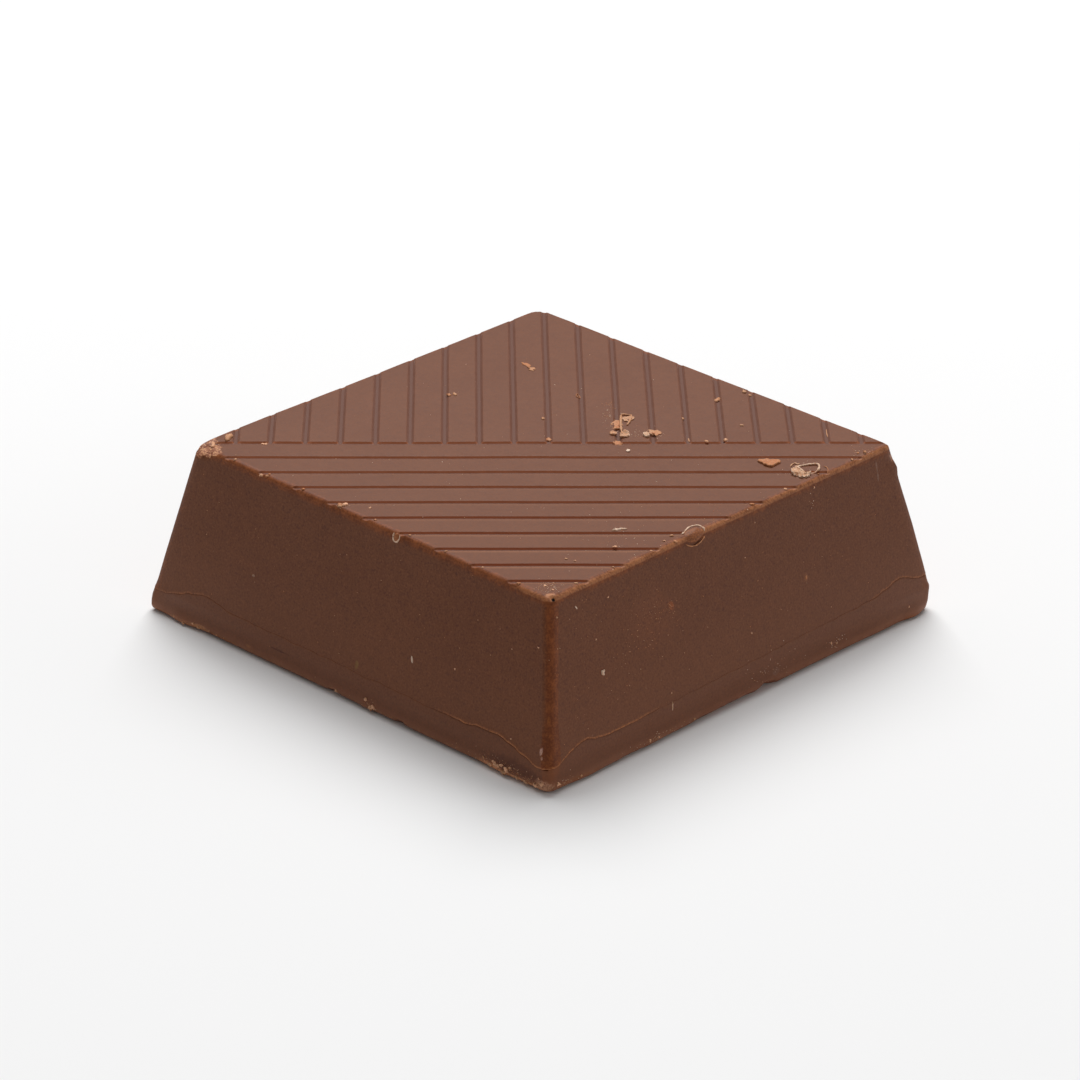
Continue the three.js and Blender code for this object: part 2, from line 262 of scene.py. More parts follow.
def top_columns():
    """u of the mesh lines of the back half, from the left tip to the right one."""
    numbers = range(-LENGTHWISE_EACH_SIDE, LENGTHWISE_EACH_SIDE + 1)
    columns = groove_lines([MIDDLE_LENGTHWISE + k * GROOVE_PITCH for k in numbers])
    left = np.linspace(-MEETING_REACH, min(columns), FAN_LINES["left"])[:-1]
    right = np.linspace(max(columns), MEETING_REACH, FAN_LINES["right"])[1:]
    return np.array(sorted([*columns, *left, *right]))


def rim_stations(rows, columns):
    """Where the mesh lines of the top cross each ring of the rim, all the way round from the front tip.
    They keep to the grooves' own direction on the way out, and fan out at the tips."""
    rings = []
    front_fan = smoothstep((GROOVES_END[0] - rows) / (GROOVES_END[0] - FRONT_TIP - 0.04))
    inner = columns[-2:0:-1]
    side_fan = smoothstep((np.abs(inner) - GROOVES_END[1]) / (MEETING_REACH - GROOVES_END[1]))
    for ring in RIM:
        straight = station_of_v(ring, rows)
        right = straight + (station_of_v(RIM[0], rows) - straight) * front_fan
        shift = right[0] - station_of_u(ring, MEETING_REACH)
        back = station_of_u(ring, inner) + shift * side_fan * np.sign(inner)
        rings.append(np.concatenate([right[::-1], back, 4 - right[:-1]]))
    return rings


class Skin:
    """Collects the rows of points of a surface, its faces, and its values at each point."""

    def __init__(self, *names):
        self.rows = []
        self.faces = []
        self.values = {name: [] for name in names}
        self.count = 0

    def add(self, x, y, z, **values):
        row = np.stack(np.broadcast_arrays(x, y, z), axis=-1).astype(float)
        self.rows.append(row)
        for name, stored in self.values.items():
            stored.append(np.broadcast_to(values.get(name, 0.0), len(row)))
        self.count += len(row)
        return np.arange(self.count - len(row), self.count)

    def strip(self, one, other, closed=False):
        """Faces between two rows of as many points."""
        ahead = np.roll(np.arange(len(one)), -1)
        here = np.arange(len(one))[: len(one) if closed else -1]
        self.faces.append(np.stack([one[here], one[ahead[here]], other[ahead[here]], other[here]], axis=1))

    def ring(self, previous, x, y, z, **values):
        """Adds a closed ring of points, with faces between it and the previous one, if there is one."""
        numbers = self.add(x, y, z, **values)
        if previous is not None:
            self.strip(previous, numbers, closed=True)
        return numbers

    def join(self):
        """All its points, and its values by name."""
        return np.concatenate(self.rows), {name: np.concatenate(s) for name, s in self.values.items()}

    def mesh(self, name, points, values):
        """The mesh in metres, with points at one place merged and each value as an attribute."""
        _, first, same = np.unique(np.round(points, 5), axis=0, return_index=True, return_inverse=True)
        faces = []
        for face in same.reshape(-1)[np.concatenate(self.faces)]:
            corners = [corner for i, corner in enumerate(face) if corner != face[i - 1]]
            if len(set(corners)) == len(corners) > 2:
                faces.append(corners)
        mesh = bpy.data.meshes.new(name)
        mesh.from_pydata((points[first] * MM).tolist(), [], faces)
        for value_name, value in values.items():
            layer = mesh.attributes.new(value_name, "FLOAT", "POINT")
            layer.data.foreach_set("value", value[first].astype(np.float32))
        shape = bmesh.new()
        shape.from_mesh(mesh)
        bmesh.ops.recalc_face_normals(shape, faces=shape.faces)
        shape.to_mesh(mesh)
        shape.free()
        mesh.shade_smooth()
        return mesh


def piece(name, mesh, material):
    """Puts a mesh in the scene with its material, riding on the part."""
    made = bpy.data.objects.new(name, mesh)
    bpy.context.scene.collection.objects.link(made)
    mesh.materials.append(material)
    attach(made, "root")
    return made


INNER_SHARES = (0.98, 0.85, 0.0)  # of the way out: the rings that close each solid at the seam


def moulded_skin():
    """The body's surface. Each mesh line of the top goes on over the rim and down the wall."""
    skin = Skin("across", "lengthwise", "front", "floor", "lip", "seam")
    rows, columns = top_rows(), top_columns()

    def add(x, y, z):
        u, v = to_uv(x, y)
        share = groove_share(u, v)
        cut = np.minimum(z, HEIGHT - GROOVE_DEPTH * share)
        shown = smoothstep((z - HEIGHT + GROOVE_DEPTH) / GROOVE_DEPTH)
        to_front = smoothstep(0.15 - v / 20)
        line = 4 * share * (1 - share) * shown  # strongest halfway up a groove's side
        back_half = v > FIRST_ACROSS_EDGE + 0.02
        lip = groove_lip(v) * (0.1 + 0.9 * to_front ** 2)
        return skin.add(x, y, cut, across=np.where(back_half, 0, line),
                        lengthwise=np.where(back_half, line, 0), front=to_front,
                        floor=share ** 2 * shown, lip=lip * shown)

    spread = columns / MEETING_REACH
    reaches = to_uv(*outline(station_of_v(RIM[0], rows), *RIM[0][:2]))[0]
    reaches[-1] = 0
    front = [add(*to_xy(spread * reach, v), HEIGHT) for v, reach in zip(rows, reaches)]
    for one, other in zip(front, front[1:]):
        skin.strip(one, other)
    rim_v = to_uv(*outline(station_of_u(RIM[0], columns), *RIM[0][:2]))[1]
    rim_v[[0, -1]] = MEETING_ROW
    back = [front[0]]
    for share in (1 - np.cos(np.linspace(0, math.pi, 31)[1:])) / 2:
        back.append(add(*to_xy(columns, MEETING_ROW + share * (rim_v - MEETING_ROW)), HEIGHT))
    for one, other in zip(back, back[1:]):
        skin.strip(one, other)

    rings = rim_stations(rows, columns)
    right = [row[-1] for row in front[::-1]]
    left = [row[0] for row in front[:-1]]
    previous = np.array([*right, *back[-1][-2:0:-1], *left])
    for (half, radii, z), stations in zip(RIM[1:], rings[1:]):
        numbers = add(*outline(stations, half, radii), z)
        skin.strip(previous, numbers, closed=True)
        previous = numbers

    stations = rings[-1]
    seam, shown = seam_height(stations)
    top = RIM[-1][2]
    rises = [0.3, 0.2, 0.13, 0.08, 0.045, 0.02, 0.0]  # of the mesh lines just over the seam
    levels = [top + (seam + rises[0] - top) * share for share in np.linspace(0, 1, 33)[1:]]
    for z in levels + [seam + rise for rise in rises[1:]]:
        rise = z - seam
        proud = SEAM_LIP * shown * (smoothstep((0.22 - rise) / 0.15) - smoothstep((0.04 - rise) / 0.05) ** 2)
        x, y = outline(stations, half_side(z) + proud, corner_radii(z))
        previous = skin.ring(previous, x, y, z, seam=np.sqrt(shown) * smoothstep((0.12 - rise) / 0.08))
    for share in INNER_SHARES:
        level = seam if share > 0.9 else SEAM_LEVEL
        previous = skin.ring(previous, x * share, y * share, level)
    return skin


RIM_BAND = 0.44  # how far in from the edge the rim's redder brown reaches
RIM_DROP = 0.66  # and how far down
UPRIGHT_REACH = 0.6  # of the redder stripe (partly rubbed, partly painted shading), from the upright edge to each side
UPRIGHT_PLAIN = np.array([1.0, 0.35, 0.4, 0.45])  # how strongly that stripe is painted on each upright edge
UPRIGHT_LEAN = np.array([0.15, 0, 0, 0])  # how far the stripe leans round to the next wall
UPRIGHT_SPREAD = 0.2  # how much wider the stripe gets towards the seam


def edge_masks(points):
    """How much each point belongs to a rim, and to one of the four upright edges."""
    x, y, z = np.abs(points[:, 0]), np.abs(points[:, 1]), points[:, 2]
    half = half_side(z)
    near = np.minimum(half - x, half - y)
    rim = smoothstep((RIM_BAND - near) / 0.4) * smoothstep((RIM_DROP - HEIGHT + z) / 0.5)
    corner = (2 * (points[:, 0] < 0) + (points[:, 0] * points[:, 1] > 0)).astype(int)
    lean = UPRIGHT_LEAN[corner]
    far = np.maximum(half - x + lean, half - y - lean)
    reach = UPRIGHT_REACH + UPRIGHT_SPREAD * bell((z - SEAM_LEVEL) / 1.2)
    upright = smoothstep((reach - far) / 0.16) * UPRIGHT_PLAIN[corner]
    return rim, upright


def rubbed_share(points):
    """How much of its shine the rim has lost: most over the right wall and round the front corner."""
    right = smoothstep((points[:, 0] - 12.5) / 0.6)
    front_corner = smoothstep((3.4 - np.hypot(points[:, 0] - HALF_TOP, points[:, 1] + HALF_TOP)) / 2)
    return np.maximum(0.18, np.maximum(right, 0.8 * front_corner))


LEFT_EDGE = [  # height, and how far the upright edge stands out there
    (0.2, 0.08), (0.6, 0.1), (0.95, 0.07), (1.5, -0.08), (1.9, -0.11), (3.7, -0.08), (9.4, -0.05),
]
RIGHT_EDGE = [
    (0.1, -0.08), (0.6, 0.0), (1.3, -0.02), (1.7, -0.08), (2.6, -0.04), (5.1, 0.03), (8.0, 0.0), (9.4, -0.03),
]
EDGE_REACH = 1.3  # how far from the upright edge its standing out still shows
WIDE_WAVES = (0.008, 9.0, 20)  # height, length and seed of the unevenness of the cast walls
SHORT_WAVES = (0.002, 1.6, 30)


def settle(points):
    """The slight unevenness of a thing cast in chocolate, and how far the upright edges at the left and
    the right stand out, by height."""
    moved = points.copy()
    half = half_side(points[:, 2])
    for side, stands_out in ((-1, LEFT_EDGE), (1, RIGHT_EDGE)):
        from_edge = half - side * np.array([points[:, 0], points[:, 1]])
        near = bell(np.maximum(*from_edge) / EDGE_REACH) * smoothstep(1 - np.minimum(*from_edge) / 1.5)
        push = side * near * np.interp(points[:, 2], *np.array(stands_out).T) / math.sqrt(2)
        moved[:, :2] += push[:, None]
    for axis in range(3):
        wide, short = [tall * ripple(points, length, seed + axis) for tall, length, seed in
                       (WIDE_WAVES, SHORT_WAVES)]
        moved[:, axis] += wide + short
    return moved


def knock_corner_off(points):
    """Takes off the left corner, with a slight bulge in the broken face. Also says where it is worn."""
    half = half_side(HEIGHT - CORNER_CHIP["down"])
    low = np.array([-half, -half, HEIGHT - CORNER_CHIP["down"]])
    along_front = np.array([-HALF_TOP + CORNER_CHIP["along_front"], -HALF_TOP, HEIGHT])
    sideways = np.array([-HALF_TOP, -HALF_TOP + CORNER_CHIP["sideways"], HEIGHT])
    facing = np.cross(along_front - low, sideways - low)
    facing *= np.sign(facing[2]) / np.linalg.norm(facing)
    over = (points - low) @ facing + 0.025 * ripple(points, 0.5, 11) + 0.015 * ripple(points, 0.17, 12)
    away = points - (low + 0.45 * (sideways - low))
    over -= CHIP_BULGE * np.exp(-np.sum(away ** 2, axis=1) / 0.3)
    worn = smoothstep(over / 0.03 + 0.4)
    return points - np.clip(over, 0, None)[:, None] * facing, worn


def dent_corner(points, worn):
    """Presses a dent into the right corner, with the bump under it."""
    away = points - np.array([*to_xy(CORNER_DENT["u"], CORNER_DENT["v"]), CORNER_DENT["z"]])
    distance = np.linalg.norm(away, axis=1)
    radius = CORNER_DENT["radius"]
    points = points + away * (np.clip(radius / distance, 1, None) - 1)[:, None]
    worn = np.maximum(worn, 0.5 * smoothstep((radius + 0.12 - distance) / 0.1))
    tip = half_side(points[:, 2])
    from_edge = np.hypot(tip - points[:, 0], tip - points[:, 1])
    rise = bell((points[:, 2] - CORNER_BUMP["z"]) / CORNER_BUMP["tall"])
    push = CORNER_BUMP["out"] * rise * bell(from_edge / CORNER_BUMP["reach"])
    return points + push[:, None] * np.array([1, 1, 0]) / math.sqrt(2), worn


def sink_pinhole(points):
    """Sinks the pinhole that an air bubble left at the front corner."""
    u, v = to_uv(points[:, 0], points[:, 1])
    distance = np.hypot(u - PINHOLE["u"], v - PINHOLE["v"])
    hole = smoothstep((1.3 * PINHOLE["radius"] - distance) / (0.6 * PINHOLE["radius"]))
    points[:, 2] -= PINHOLE["depth"] * hole * smoothstep((points[:, 2] - HEIGHT + 0.28) / 0.08)


def roughen_edges(points):
    """Makes the rims and the upright edges slightly bumpy, most so towards the front."""
    rim, upright = edge_masks(points)
    rough = 0.5 + 0.5 * smoothstep((points[:, 0] - points[:, 1]) / 20)
    bumps = 0.014 * ripple(points, 0.9, 14) + 0.009 * ripple(points, 0.3, 15)
    points += (np.maximum(rim, 0.4 * upright) * rough * bumps)[:, None] * np.array([0.6, -0.6, 0.6])


skin = moulded_skin()
points, values = skin.join()
values["rim"], values["upright"] = edge_masks(points)
values["rubbed"] = rubbed_share(points)
points, worn = knock_corner_off(settle(points))
points, values["worn"] = dent_corner(points, worn)
sink_pinhole(points)
roughen_edges(points)
body_mesh = skin.mesh("moulded_body", points, values)


class Shade:
    """A number or colour that varies over a surface: one output of a shader node, with arithmetic."""

    def __init__(self, tree, socket=None):
        self.tree = tree
        self.socket = socket

    def node(self, kind, settings=None, inputs=None, output=0):
        """One output of a new node of that type. Its settings are set first, then its sockets. The node
        that ends a material has no output."""
        made = self.tree.nodes.new(kind)
        for name, value in (settings or {}).items():
            setattr(made, name, value)
        for name, value in (inputs or {}).items():
            if isinstance(value, Shade):
                self.tree.links.new(value.socket, made.inputs[name])
            else:
                made.inputs[name].default_value = value
        return Shade(self.tree, None if output is None else made.outputs[output])

    def math(self, operation, *numbers):
        return self.node("ShaderNodeMath", {"operation": operation}, dict(enumerate(numbers)))

    def __add__(self, other):
        return self.math("ADD", self, other)

    def __mul__(self, other):
        return self.math("MULTIPLY", self, other)

    def __sub__(self, other):
        return self.math("SUBTRACT", self, other)

    def __rsub__(self, other):
        return self.math("SUBTRACT", other, self)

    __radd__ = __add__
    __rmul__ = __mul__

    def larger(self, other):
        return self.math("MAXIMUM", self, other)

    def step(self, low, high):
        """0 below low and 1 above high, with a smooth rise."""
        inputs = {"Value": self, "From Min": low, "From Max": high}
        return self.node("ShaderNodeMapRange", {"interpolation_type": "SMOOTHSTEP"}, inputs)

    def mix(self, one, other):
        """Colour one where this is 0, and other where it is 1."""
        return self.node("ShaderNodeMix", {"data_type": "RGBA"}, {0: self, 6: one, 7: other}, 2)

    def noise(self, size, detail=2.0, roughness=0.5):
        """Cloudy noise over these coordinates, with features of that size."""
        inputs = {"Vector": self, "Scale": 1 / size, "Detail": detail, "Roughness": roughness}
        return self.node("ShaderNodeTexNoise", {}, inputs)

    def value(self, name):
        return self.node("ShaderNodeAttribute", {"attribute_name": name}, {}, 2)


def linear(red, green, blue):
    """A colour that is given in the usual 0 to 255 steps, as light."""
    steps = [c / 255 for c in (red, green, blue)]
    return (*[c / 12.92 if c <= 0.04045 else ((c + 0.055) / 1.055) ** 2.4 for c in steps], 1)


def new_material(name):
    """An empty material, and the place of each point of its surface in millimetres."""
    material = bpy.data.materials.new(name)
    material.use_nodes = True
    material.node_tree.nodes.clear()
    place = Shade(material.node_tree).node("ShaderNodeTexCoord", output=3)
    return material, place.node("ShaderNodeVectorMath", {"operation": "SCALE"}, {0: place, 3: 1 / MM})


BUMP_DISTANCE = 0.02 * MM


def set_surface(colour, roughness, shine, relief, relief_strength):
    """Ends a material: that colour, roughness and shine, over fine relief."""
    bump = {"Strength": relief_strength, "Distance": BUMP_DISTANCE, "Height": relief}
    shader = colour.node("ShaderNodeBsdfPrincipled", inputs={
        "Base Color": colour,
        "Roughness": roughness,
        "Specular IOR Level": shine,
        "Normal": colour.node("ShaderNodeBump", inputs=bump),
    })
    colour.node("ShaderNodeOutputMaterial", inputs={"Surface": shader}, output=None)


def patch(place, centre, radii, ragged):
    """1 inside a ragged spot round a point of the surface, and 0 outside."""
    away = place.node("ShaderNodeVectorMath", {"operation": "SUBTRACT"}, {0: place, 1: centre})
    away = place.node("ShaderNodeVectorMath", {"operation": "DIVIDE"}, {0: away, 1: radii})
    distance = place.node("ShaderNodeVectorMath", {"operation": "LENGTH"}, {0: away}, 1)
    return 1 - (distance + ragged).step(0.8, 1.3)


MILK_CHOCOLATE = linear(106, 58, 30)
LIGHTER_BLOOM = linear(112, 63, 34)
GRAIN_DARK = linear(80, 40, 22)
GRAIN_LIGHT = linear(136, 82, 54)
EDGE_DARK = linear(102, 49, 18)
EDGE_LIGHT = linear(138, 74, 34)
LIT_BACK_LINES = linear(166, 98, 62)
LIT_FRONT_LINES = linear(143, 70, 34)
LIT_LENGTHWISE_LINES = linear(126, 88, 75)
FLOOR_BROWN = linear(98, 57, 40)
RIM_TAN = linear(188, 126, 84)
FOOT_PAINTED_LIGHT = linear(134, 86, 60)
LIP_HIGHLIGHT_TAN = linear(150, 98, 64)
SEAM_HIGHLIGHT_TAN = linear(184, 114, 66)
WORN_TAN = linear(172, 114, 86)
WORN_PALE = linear(216, 164, 120)
WORN_BROWN = linear(118, 68, 46)
PINHOLE_SHADE = linear(6, 3, 2)
TOP_STARTS = HEIGHT - RIM_RADIUS / 2


def chocolate(name, tones, marks):
    """Material of cast chocolate: cloudy, and finely grained where the mould didn't polish it. It is painted
    lighter towards the bottom: painted light, as if thrown up from the table.
    """
    material, place = new_material(name)
    clouds, mottle = place.noise(5.0), place.noise(0.5, 3)
    grain, dust = place.noise(0.11, 2, 0.6), place.noise(0.2, 2, 0.7)
    height = place.node("ShaderNodeSeparateXYZ", inputs={0: place}, output=2)
    matt = 1 - height.step(TOP_STARTS - 0.2, TOP_STARTS) * 0.6
    colour = (clouds * 0.5 + mottle * 0.5).step(0.3, 0.7).mix(*tones)
    colour = ((1 - grain.step(0.25, 0.5)) * matt * 0.85).mix(colour, GRAIN_DARK)
    colour = (grain.step(0.5, 0.75) * matt * 0.5).mix(colour, GRAIN_LIGHT)
    # painted light: paler towards the bottom, standing in for light thrown up from the table
    colour = ((1 - height.step(-4.0, 7.0)) * 0.6).mix(colour, FOOT_PAINTED_LIGHT)
    colour = marks(place, colour, grain, mottle)
    roughness = 0.42 + 0.16 * grain + 0.06 * place.value("front")
    set_surface(colour, roughness, 0.22, grain * 0.5 + mottle * 0.8 + dust * 0.4, 0.5)
    return material


PINHOLE_AT = (*to_xy(PINHOLE["u"], PINHOLE["v"]), HEIGHT - 0.2)
PINHOLE_SPREAD = (0.085, 0.085, 0.28)
PINHOLE_SIDE = (*to_xy(PINHOLE["u"] - 0.12, PINHOLE["v"] + 0.1), HEIGHT - 0.05)  # rubbed, beside the hole
SIDE_SPREAD = (0.24, 0.24, 0.2)
BODY_STAINS = [  # where, how far it spreads, colour and strength
    ((14.0, -6.2, 6.6), (1.0, 1.5, 1.4), (130, 74, 44), 0.3),
    ((14.0, -4.85, 6.76), (0.5, 0.16, 0.2), (150, 78, 36), 0.9),
    ((14.3, 5.27, 4.99), (0.5, 0.14, 0.2), (156, 96, 60), 0.7),
    ((0.9, -14.8, 2.28), (0.12, 0.5, 0.2), (132, 96, 50), 0.8),
    ((-7.46, -14.4, 4.41), (0.1, 0.5, 0.07), (166, 132, 108), 0.9),
    ((14.3, -14.3, 4.7), (0.14, 0.14, 0.4), (150, 84, 38), 0.8),
    ((14.4, -14.4, 3.9), (0.1, 0.1, 0.3), (150, 84, 38), 0.7),
    ((14.3, -15.0, 2.24), (0.1, 0.3, 0.2), (214, 168, 150), 0.8),
    ((14.4, -15.0, 1.9), (0.07, 0.3, 0.1), (196, 150, 130), 0.7),
    ((13.2, 11.8, 9.0), (0.4, 0.07, 0.3), (150, 116, 98), 0.5),
    ((13.3, 11.8, 8.45), (0.4, 0.07, 0.2), (150, 116, 98), 0.5),
]


def lay_patches(place, colour, patches, ragged, broken):
    """Lays the listed patches, stains or painted shade, over a colour, each with a ragged outline and broken
    up by the grain.
    """
    for centre, radii, tint, strength in patches:
        shown = patch(place, centre, radii, ragged * 1.6) * broken * strength
        colour = shown.mix(colour, linear(*tint))
    return colour


def body_marks(place, colour, grain, mottle):
    """Rims and upright edges (partly painted shading), grooves (painted light and a painted highlight), worn
    places, stains, a painted highlight on the seam and painted shade in the pinhole.
    """
    ragged = (grain + mottle) * 0.9 - 0.9
    edge = (place.value("rim") * (0.7 + mottle * 0.6)).larger(place.value("upright"))
    edge_brown = (grain * 0.6 + mottle * 0.5).step(0.4, 0.75).mix(EDGE_DARK, EDGE_LIGHT)
    # painted light: the grooves' sides are painted lighter and redder than the chocolate, to offset the shade
    # in the grooves, and lightest at the back
    lines = place.value("front").mix(LIT_BACK_LINES, LIT_FRONT_LINES)
    colour = (place.value("floor") * 0.9).mix(colour, FLOOR_BROWN)
    colour = (place.value("across") * (0.7 + mottle * 0.6)).mix(colour, lines)
    colour = (place.value("lengthwise") * (0.4 + mottle)).mix(colour, LIT_LENGTHWISE_LINES)
    # painted highlight: a pale line where the round upper edge of each groove's near side catches the light,
    # strongest at the front
    colour = (place.value("lip") * (0.3 + grain)).mix(colour, LIP_HIGHLIGHT_TAN)
    # partly rubbed chocolate, partly painted shading: a redder, more saturated brown where the round edges
    # lack the sheen that the flat faces show
    colour = (edge + ragged * 0.3).step(0.15, 0.85).mix(colour, edge_brown)
    specks = (grain * 0.7 + mottle * 0.4).step(0.35, 0.65)
    rubbed = place.value("rim").step(0.8, 1.0) * place.value("rubbed")
    colour = (rubbed * (0.15 + specks * 0.45)).mix(colour, RIM_TAN)
    # painted highlight: a pale line where the body's lower edge catches the light over the seam
    colour = (place.value("seam") * grain.step(0.2, 0.75)).mix(colour, SEAM_HIGHLIGHT_TAN)
    colour = lay_patches(place, colour, BODY_STAINS, ragged, grain.step(0.3, 0.6) * 0.6 + 0.4)
    tan = (grain * 0.6 + mottle * 0.5).step(0.42, 0.6).mix(WORN_BROWN, WORN_TAN)
    tan = (grain * 0.7 + mottle * 0.3).step(0.5, 0.62).mix(tan, WORN_PALE)
    colour = (place.value("worn") + ragged * 0.3).step(0.3, 0.7).mix(colour, tan)
    colour = (patch(place, PINHOLE_SIDE, SIDE_SPREAD, ragged) * 0.8).mix(colour, RIM_TAN)
    # painted shade: the inside of the pinhole is painted almost black
    return patch(place, PINHOLE_AT, PINHOLE_SPREAD, ragged * 0.2).mix(colour, PINHOLE_SHADE)


body_finish = chocolate("milk_chocolate", (MILK_CHOCOLATE, LIGHTER_BLOOM), body_marks)
body = piece("bonbon_body", body_mesh, body_finish)
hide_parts("moulded_body")


# ---- Base layer ---------------------------------------------------------------------------------
# A thin layer of the same chocolate, poured over the upturned mould to close it and scraped level. It
# set apart from the body, so a wavy seam shows, and its edge has rubbed off and chipped on the table.

BASE_CHIPS = [  # wall, where 0 looks to +X and 3 to -Y, place along it, half length and bite
    (3, -0.85, 0.5, 0.12),
    (3, 4.2, 0.45, 0.12),
    (0, -1.1, 2.9, 0.1),
    (0, 1.65, 0.75, 0.22),
]
BASE_WAVES = [  # wall, place along it, how far the bottom edge stands out there, and half length
    (3, -14.5, 0.04, 0.6),
    (3, -12.5, 0.22, 1.1),
    (3, 1.6, 0.08, 0.5),
    (3, 11.7, 0.09, 1.0),
    (0, -12.0, 0.14, 1.2),
    (0, -10.0, 0.06, 0.8),
    (0, -7.4, 0.08, 1.2),
    (0, -3.6, -0.06, 0.6),
    (0, 11.0, 0.05, 1.5),
    (0, 13.5, 0.22, 0.7),
]
BASE_STATIONS = 640
BASE_INSET = 0.02  # how far its upper edge lies back behind the body's


def base_skin():
    """The base layer's surface: rings from the middle of the flat underneath out and up to the seam, and
    back to the middle."""
    skin = Skin("seam", "foot")
    stations = np.arange(BASE_STATIONS) * 4 / BASE_STATIONS
    seam, shown = seam_height(stations)
    rings = []
    for share in (0.0, 0.5, 0.9, 0.98):
        rings.append((HALF_BASE * share, 0.0, corner_radii(0) * share))
    for angle in np.linspace(math.pi / 2, 0, 9):
        inset = BASE_EDGE_RADIUS * (1 - math.cos(angle))
        z = BASE_EDGE_RADIUS * (1 - math.sin(angle))
        radii = np.clip(corner_radii(z) - inset, SMALLEST_RADIUS, None)
        rings.append((HALF_BASE - inset, z, radii))
    for share in np.linspace(0, 1, 19)[1:]:
        z = BASE_EDGE_RADIUS + (seam - BASE_EDGE_RADIUS) * share
        rings.append((half_side(z) - BASE_INSET * shown * share, z, corner_radii(z)))
    for share in INNER_SHARES:
        z = (seam if share > 0.9 else SEAM_LEVEL) - 0.01
        rings.append(((half_side(seam) - BASE_INSET * shown) * share, z, corner_radii(FOOT_HEIGHT) * share))
    previous = None
    for half, z, radii in rings:
        x, y = outline(stations, half, radii)
        near = smoothstep((0.12 - np.abs(z - seam)) / 0.12) * shown
        previous = skin.ring(previous, x, y, z, seam=near, foot=smoothstep((0.8 - z) / 0.75))
    return skin


def wall_ways(wall):
    """The level directions out of a wall and along it, to the right."""
    turn = wall * math.pi / 2
    outward = np.array([math.cos(turn), math.sin(turn), 0])
    return outward, np.array([-math.sin(turn), math.cos(turn), 0])


def chip_edge(points):
    """Bites out of the bottom edge. Also says where it is worn."""
    worn = np.zeros(len(points))
    for wall, along, reach, bite in BASE_CHIPS:
        outward, sideways = wall_ways(wall)
        out, side = points @ outward - HALF_BASE, points @ sideways - along
        depth = (out + BASE_EDGE_RADIUS * 0.6 - points[:, 2]) / math.sqrt(2)
        over = depth + bite * np.clip(1 - (side / reach) ** 2, 0, None) + 0.01
        over = np.where(np.abs(side) < reach, over + 0.02 * ripple(points, 0.3, 41), 0)
        cut = np.clip(over, 0, bite)
        points = points - cut[:, None] * (outward - np.array([0, 0, 1])) / math.sqrt(2)
        worn = np.maximum(worn, 0.8 * smoothstep(cut / 0.06))
    return points, worn


def wave_edge(points):
    """Moves the bottom edge in and out, where the poured chocolate ran unevenly."""
    for wall, along, stands_out, reach in BASE_WAVES:
        outward, sideways = wall_ways(wall)
        near = smoothstep((points @ outward - HALF_BASE + 1.0) / 0.9) * smoothstep((1.0 - points[:, 2]) / 0.9)
        near = near * bell((points @ sideways - along) / reach)
        points = points + (stands_out * near)[:, None] * outward
    return points


skin = base_skin()
points, values = skin.join()
values["upright"] = edge_masks(points)[1]
points, values["worn"] = chip_edge(settle(points))
points = wave_edge(points)
points[:, 2] = np.maximum(points[:, 2], 0)


BASE_TONES = (linear(104, 58, 35), linear(110, 63, 39))
FOOT_RUBBED_AND_LIT = linear(150, 98, 70)
BASE_STAINS_AND_SHADE = [  # as for the body; one of them is painted shade
    ((-12.4, -HALF_BASE, 0.22), (1.3, 0.6, 0.16), (170, 110, 76), 0.8),
    ((-11.1, -HALF_BASE, 0.3), (0.6, 0.6, 0.14), (184, 126, 86), 0.9),
    ((-9.6, -HALF_BASE, 0.22), (1.2, 0.6, 0.1), (150, 90, 54), 0.8),
    ((-7.24, -HALF_BASE, 0.5), (0.2, 0.6, 0.1), (160, 104, 64), 0.7),
    ((-4.94, -HALF_BASE, 1.1), (0.75, 0.6, 0.06), (76, 32, 18), 0.8),
    # painted shade: darker brown low by the front corner, standing in for the shadow there
    ((12.4, -HALF_BASE, 0.75), (1.7, 0.6, 0.4), (84, 44, 30), 0.7),
    ((10.9, -HALF_BASE, 0.26), (0.8, 0.6, 0.16), (214, 146, 104), 1.0),
    ((12.9, -HALF_BASE, 0.16), (1.7, 0.6, 0.14), (216, 150, 108), 1.0),
    ((14.5, -14.8, 0.4), (0.45, 0.5, 0.3), (200, 148, 118), 0.9),
    ((14.6, -12.9, 0.3), (0.8, 1.5, 0.14), (150, 88, 46), 0.6),
    ((HALF_BASE, 13.1, 0.2), (0.6, 0.7, 0.12), (150, 88, 48), 0.6),
    ((HALF_BASE, 2.2, 0.8), (0.6, 0.3, 0.2), (136, 106, 90), 0.4),
]


def base_marks(place, colour, grain, mottle):
    """Painted shade just under the seam and low by the front corner, and the bottom edge: rubbed, stained,
    chipped and painted lighter low down.
    """
    ragged = (grain + mottle) * 0.9 - 0.9
    # the upright edges' redder stripe runs on down the base: partly rubbed, partly painted shading, as on the
    # body
    colour = (place.value("upright") * (mottle - 0.1)).mix(colour, EDGE_LIGHT)
    # paler along the bottom: partly rubbed chocolate, partly painted light from below
    colour = (place.value("foot") * (0.5 + mottle * 0.9)).mix(colour, FOOT_RUBBED_AND_LIT)
    colour = lay_patches(place, colour, BASE_STAINS_AND_SHADE, ragged, grain.step(0.35, 0.6) * 0.75 + 0.25)
    tan = (grain * 0.6 + mottle * 0.5).step(0.4, 0.62).mix(WORN_BROWN, WORN_TAN)
    colour = (place.value("worn") + ragged * 0.6).step(0.3, 0.7).mix(colour, tan)
    # painted shade: darker just under the seam, where the body's lower edge shades the base
    return (place.value("seam") * 0.15).mix(colour, EDGE_DARK)


